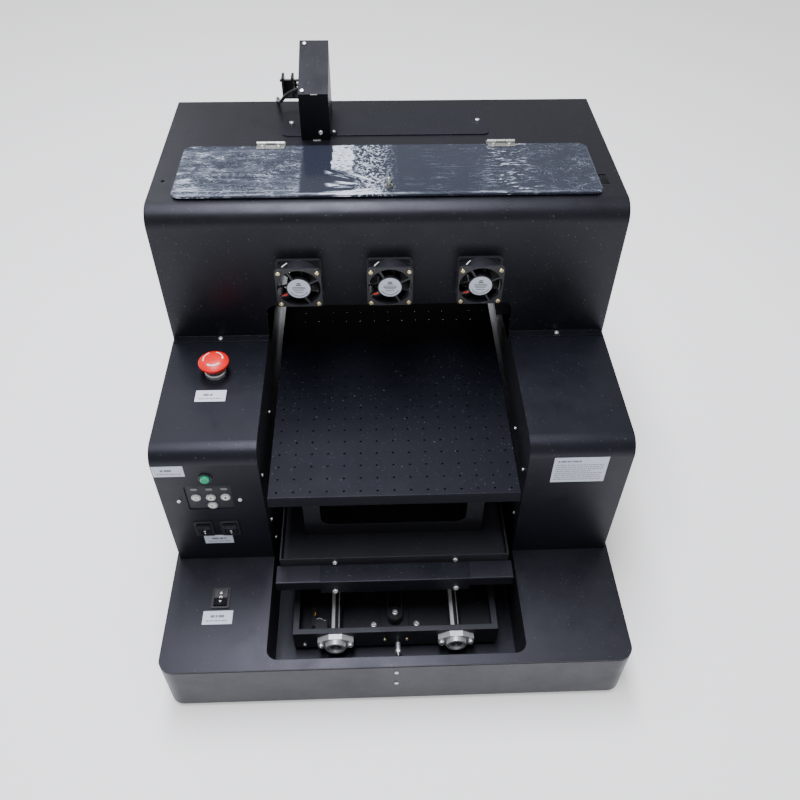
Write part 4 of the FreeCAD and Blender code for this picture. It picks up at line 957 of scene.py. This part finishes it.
def make_switch_details():
    """The limit switch's lead and its bent lever."""
    low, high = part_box("limit_switch")
    lead = Mesh()
    start = Vector((low.x + 12 * MM, high.y - 18 * MM, low.z + 9 * MM))
    steps = [(0, 0, 0), (0.5, 3, 3), (1, 7, 2), (0, 10, -2), (-3, 13, -6)]
    lead.tube(curve_through([start + Vector(p) * MM for p in steps], 6), 0.8 * MM)
    lead.build("limit_switch_lead", WIRE_AMBER, "machine")

    lever = Mesh()
    base = Vector((low.x + 14 * MM, high.y - 27 * MM, low.z + 19.5 * MM))
    upper = [base + Vector((k * 2.2, 2.0 * math.sin(k * 0.7), 0)) * MM for k in range(8)]
    lever.band(upper, [p - UP * 5 * MM for p in upper], BACK * 0.4 * MM)
    lever.build("limit_switch_lever", ZINC, "machine")


def make_hinge_caps():
    """Bright round heads on the screws of the hinges' moving leaves."""
    low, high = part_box("lid_panel")
    heads = Mesh()
    for hinge_x in (-HINGE_X, HINGE_X):
        for offset in (-HINGE_SCREW_SPREAD, HINGE_SCREW_SPREAD):
            foot = Vector((hinge_x + offset, high.y - HINGE_SCREW_INSET, high.z + HINGE_LEAF))
            heads.dome(foot, 3.1 * MM, 2.1 * MM)
    heads.build("hinge_screw_heads", ZINC, "lid")


def make_riser_tabs():
    """Two small bright tabs where the riser's front sheet is hooked in, at its fold and its foot."""
    low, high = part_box("riser_box")
    middle = (low.x + high.x - 9 * MM) / 2
    tabs = Mesh()
    top_tab = [Vector((middle + dx * MM, low.y - 0.25 * MM, RISER_FOLD_Z + dz * MM))
               for dx, dz in ((-3.5, -1.2), (5.5, -1.2), (5.5, 0.2), (-3.5, 0.2))]
    tabs.slab(top_tab, BACK * 0.3 * MM)
    foot_tab = [Vector((middle + dx * MM, low.y + dy * MM, low.z + 0.1 * MM))
                for dx, dy in ((-4, -3.2), (7, -3.2), (7, 0.0), (-4, 0.0))]
    tabs.slab(foot_tab, UP * 0.8 * MM)
    tabs.build("riser_tabs", PALE_TAB, "machine", smooth=False)


make_switch_details()
make_hinge_caps()
make_riser_tabs()


# ------------------------------------------------------------------ stage
FLOOR_HALF_WIDTH = 14
FLOOR_GLOW = 0.44
SKY_STRENGTH = 0.52
LIGHT_TARGET = (0, 0.1, 0.4)


def soft_box(name, place, size, power, colour):
    """A soft rectangular light that points at the machine."""
    data = bpy.data.lights.new(name, "AREA")
    data.shape = "RECTANGLE"
    data.size = size[0]
    data.size_y = size[1]
    data.energy = power
    data.color = colour
    lamp = bpy.data.objects.new(name, data)
    bpy.context.scene.collection.objects.link(lamp)
    aim = (Vector(LIGHT_TARGET) - Vector(place)).to_track_quat("-Z", "Y")
    lamp.matrix_world = Matrix.Translation(place) @ aim.to_matrix().to_4x4()


def make_stage():
    mesh = bpy.data.meshes.new("floor")
    work = bmesh.new()
    bmesh.ops.create_grid(work, x_segments=8, y_segments=8, size=FLOOR_HALF_WIDTH)
    work.to_mesh(mesh)
    work.free()
    floor = bpy.data.objects.new("floor", mesh)
    bpy.context.scene.collection.objects.link(floor)
    s = Shader("floor_paper")
    s.set("Base Color", s.blend(s.noise(3.0, 3.0), (0.90, 0.90, 0.90, 1), (0.94, 0.94, 0.94, 1)))
    s.surface.inputs["Roughness"].default_value = 0.85
    s.surface.inputs["Emission Color"].default_value = (1, 1, 1, 1)
    s.surface.inputs["Emission Strength"].default_value = FLOOR_GLOW
    paint(floor, s.material)

    world = bpy.data.worlds.new("studio")
    bpy.context.scene.world = world
    world.use_nodes = True
    sky = world.node_tree.nodes["Background"]
    sky.inputs["Color"].default_value = (1.0, 1.0, 1.0, 1)
    sky.inputs["Strength"].default_value = SKY_STRENGTH

    soft_box("overhead", (-0.20, 0.10, 2.3), (2.1, 0.5), 95, (0.91, 0.92, 1.0))
    soft_box("back_left", (-1.5, 2.1, 2.0), (1.4, 1.0), 13, (0.89, 0.92, 1.0))


make_stage()
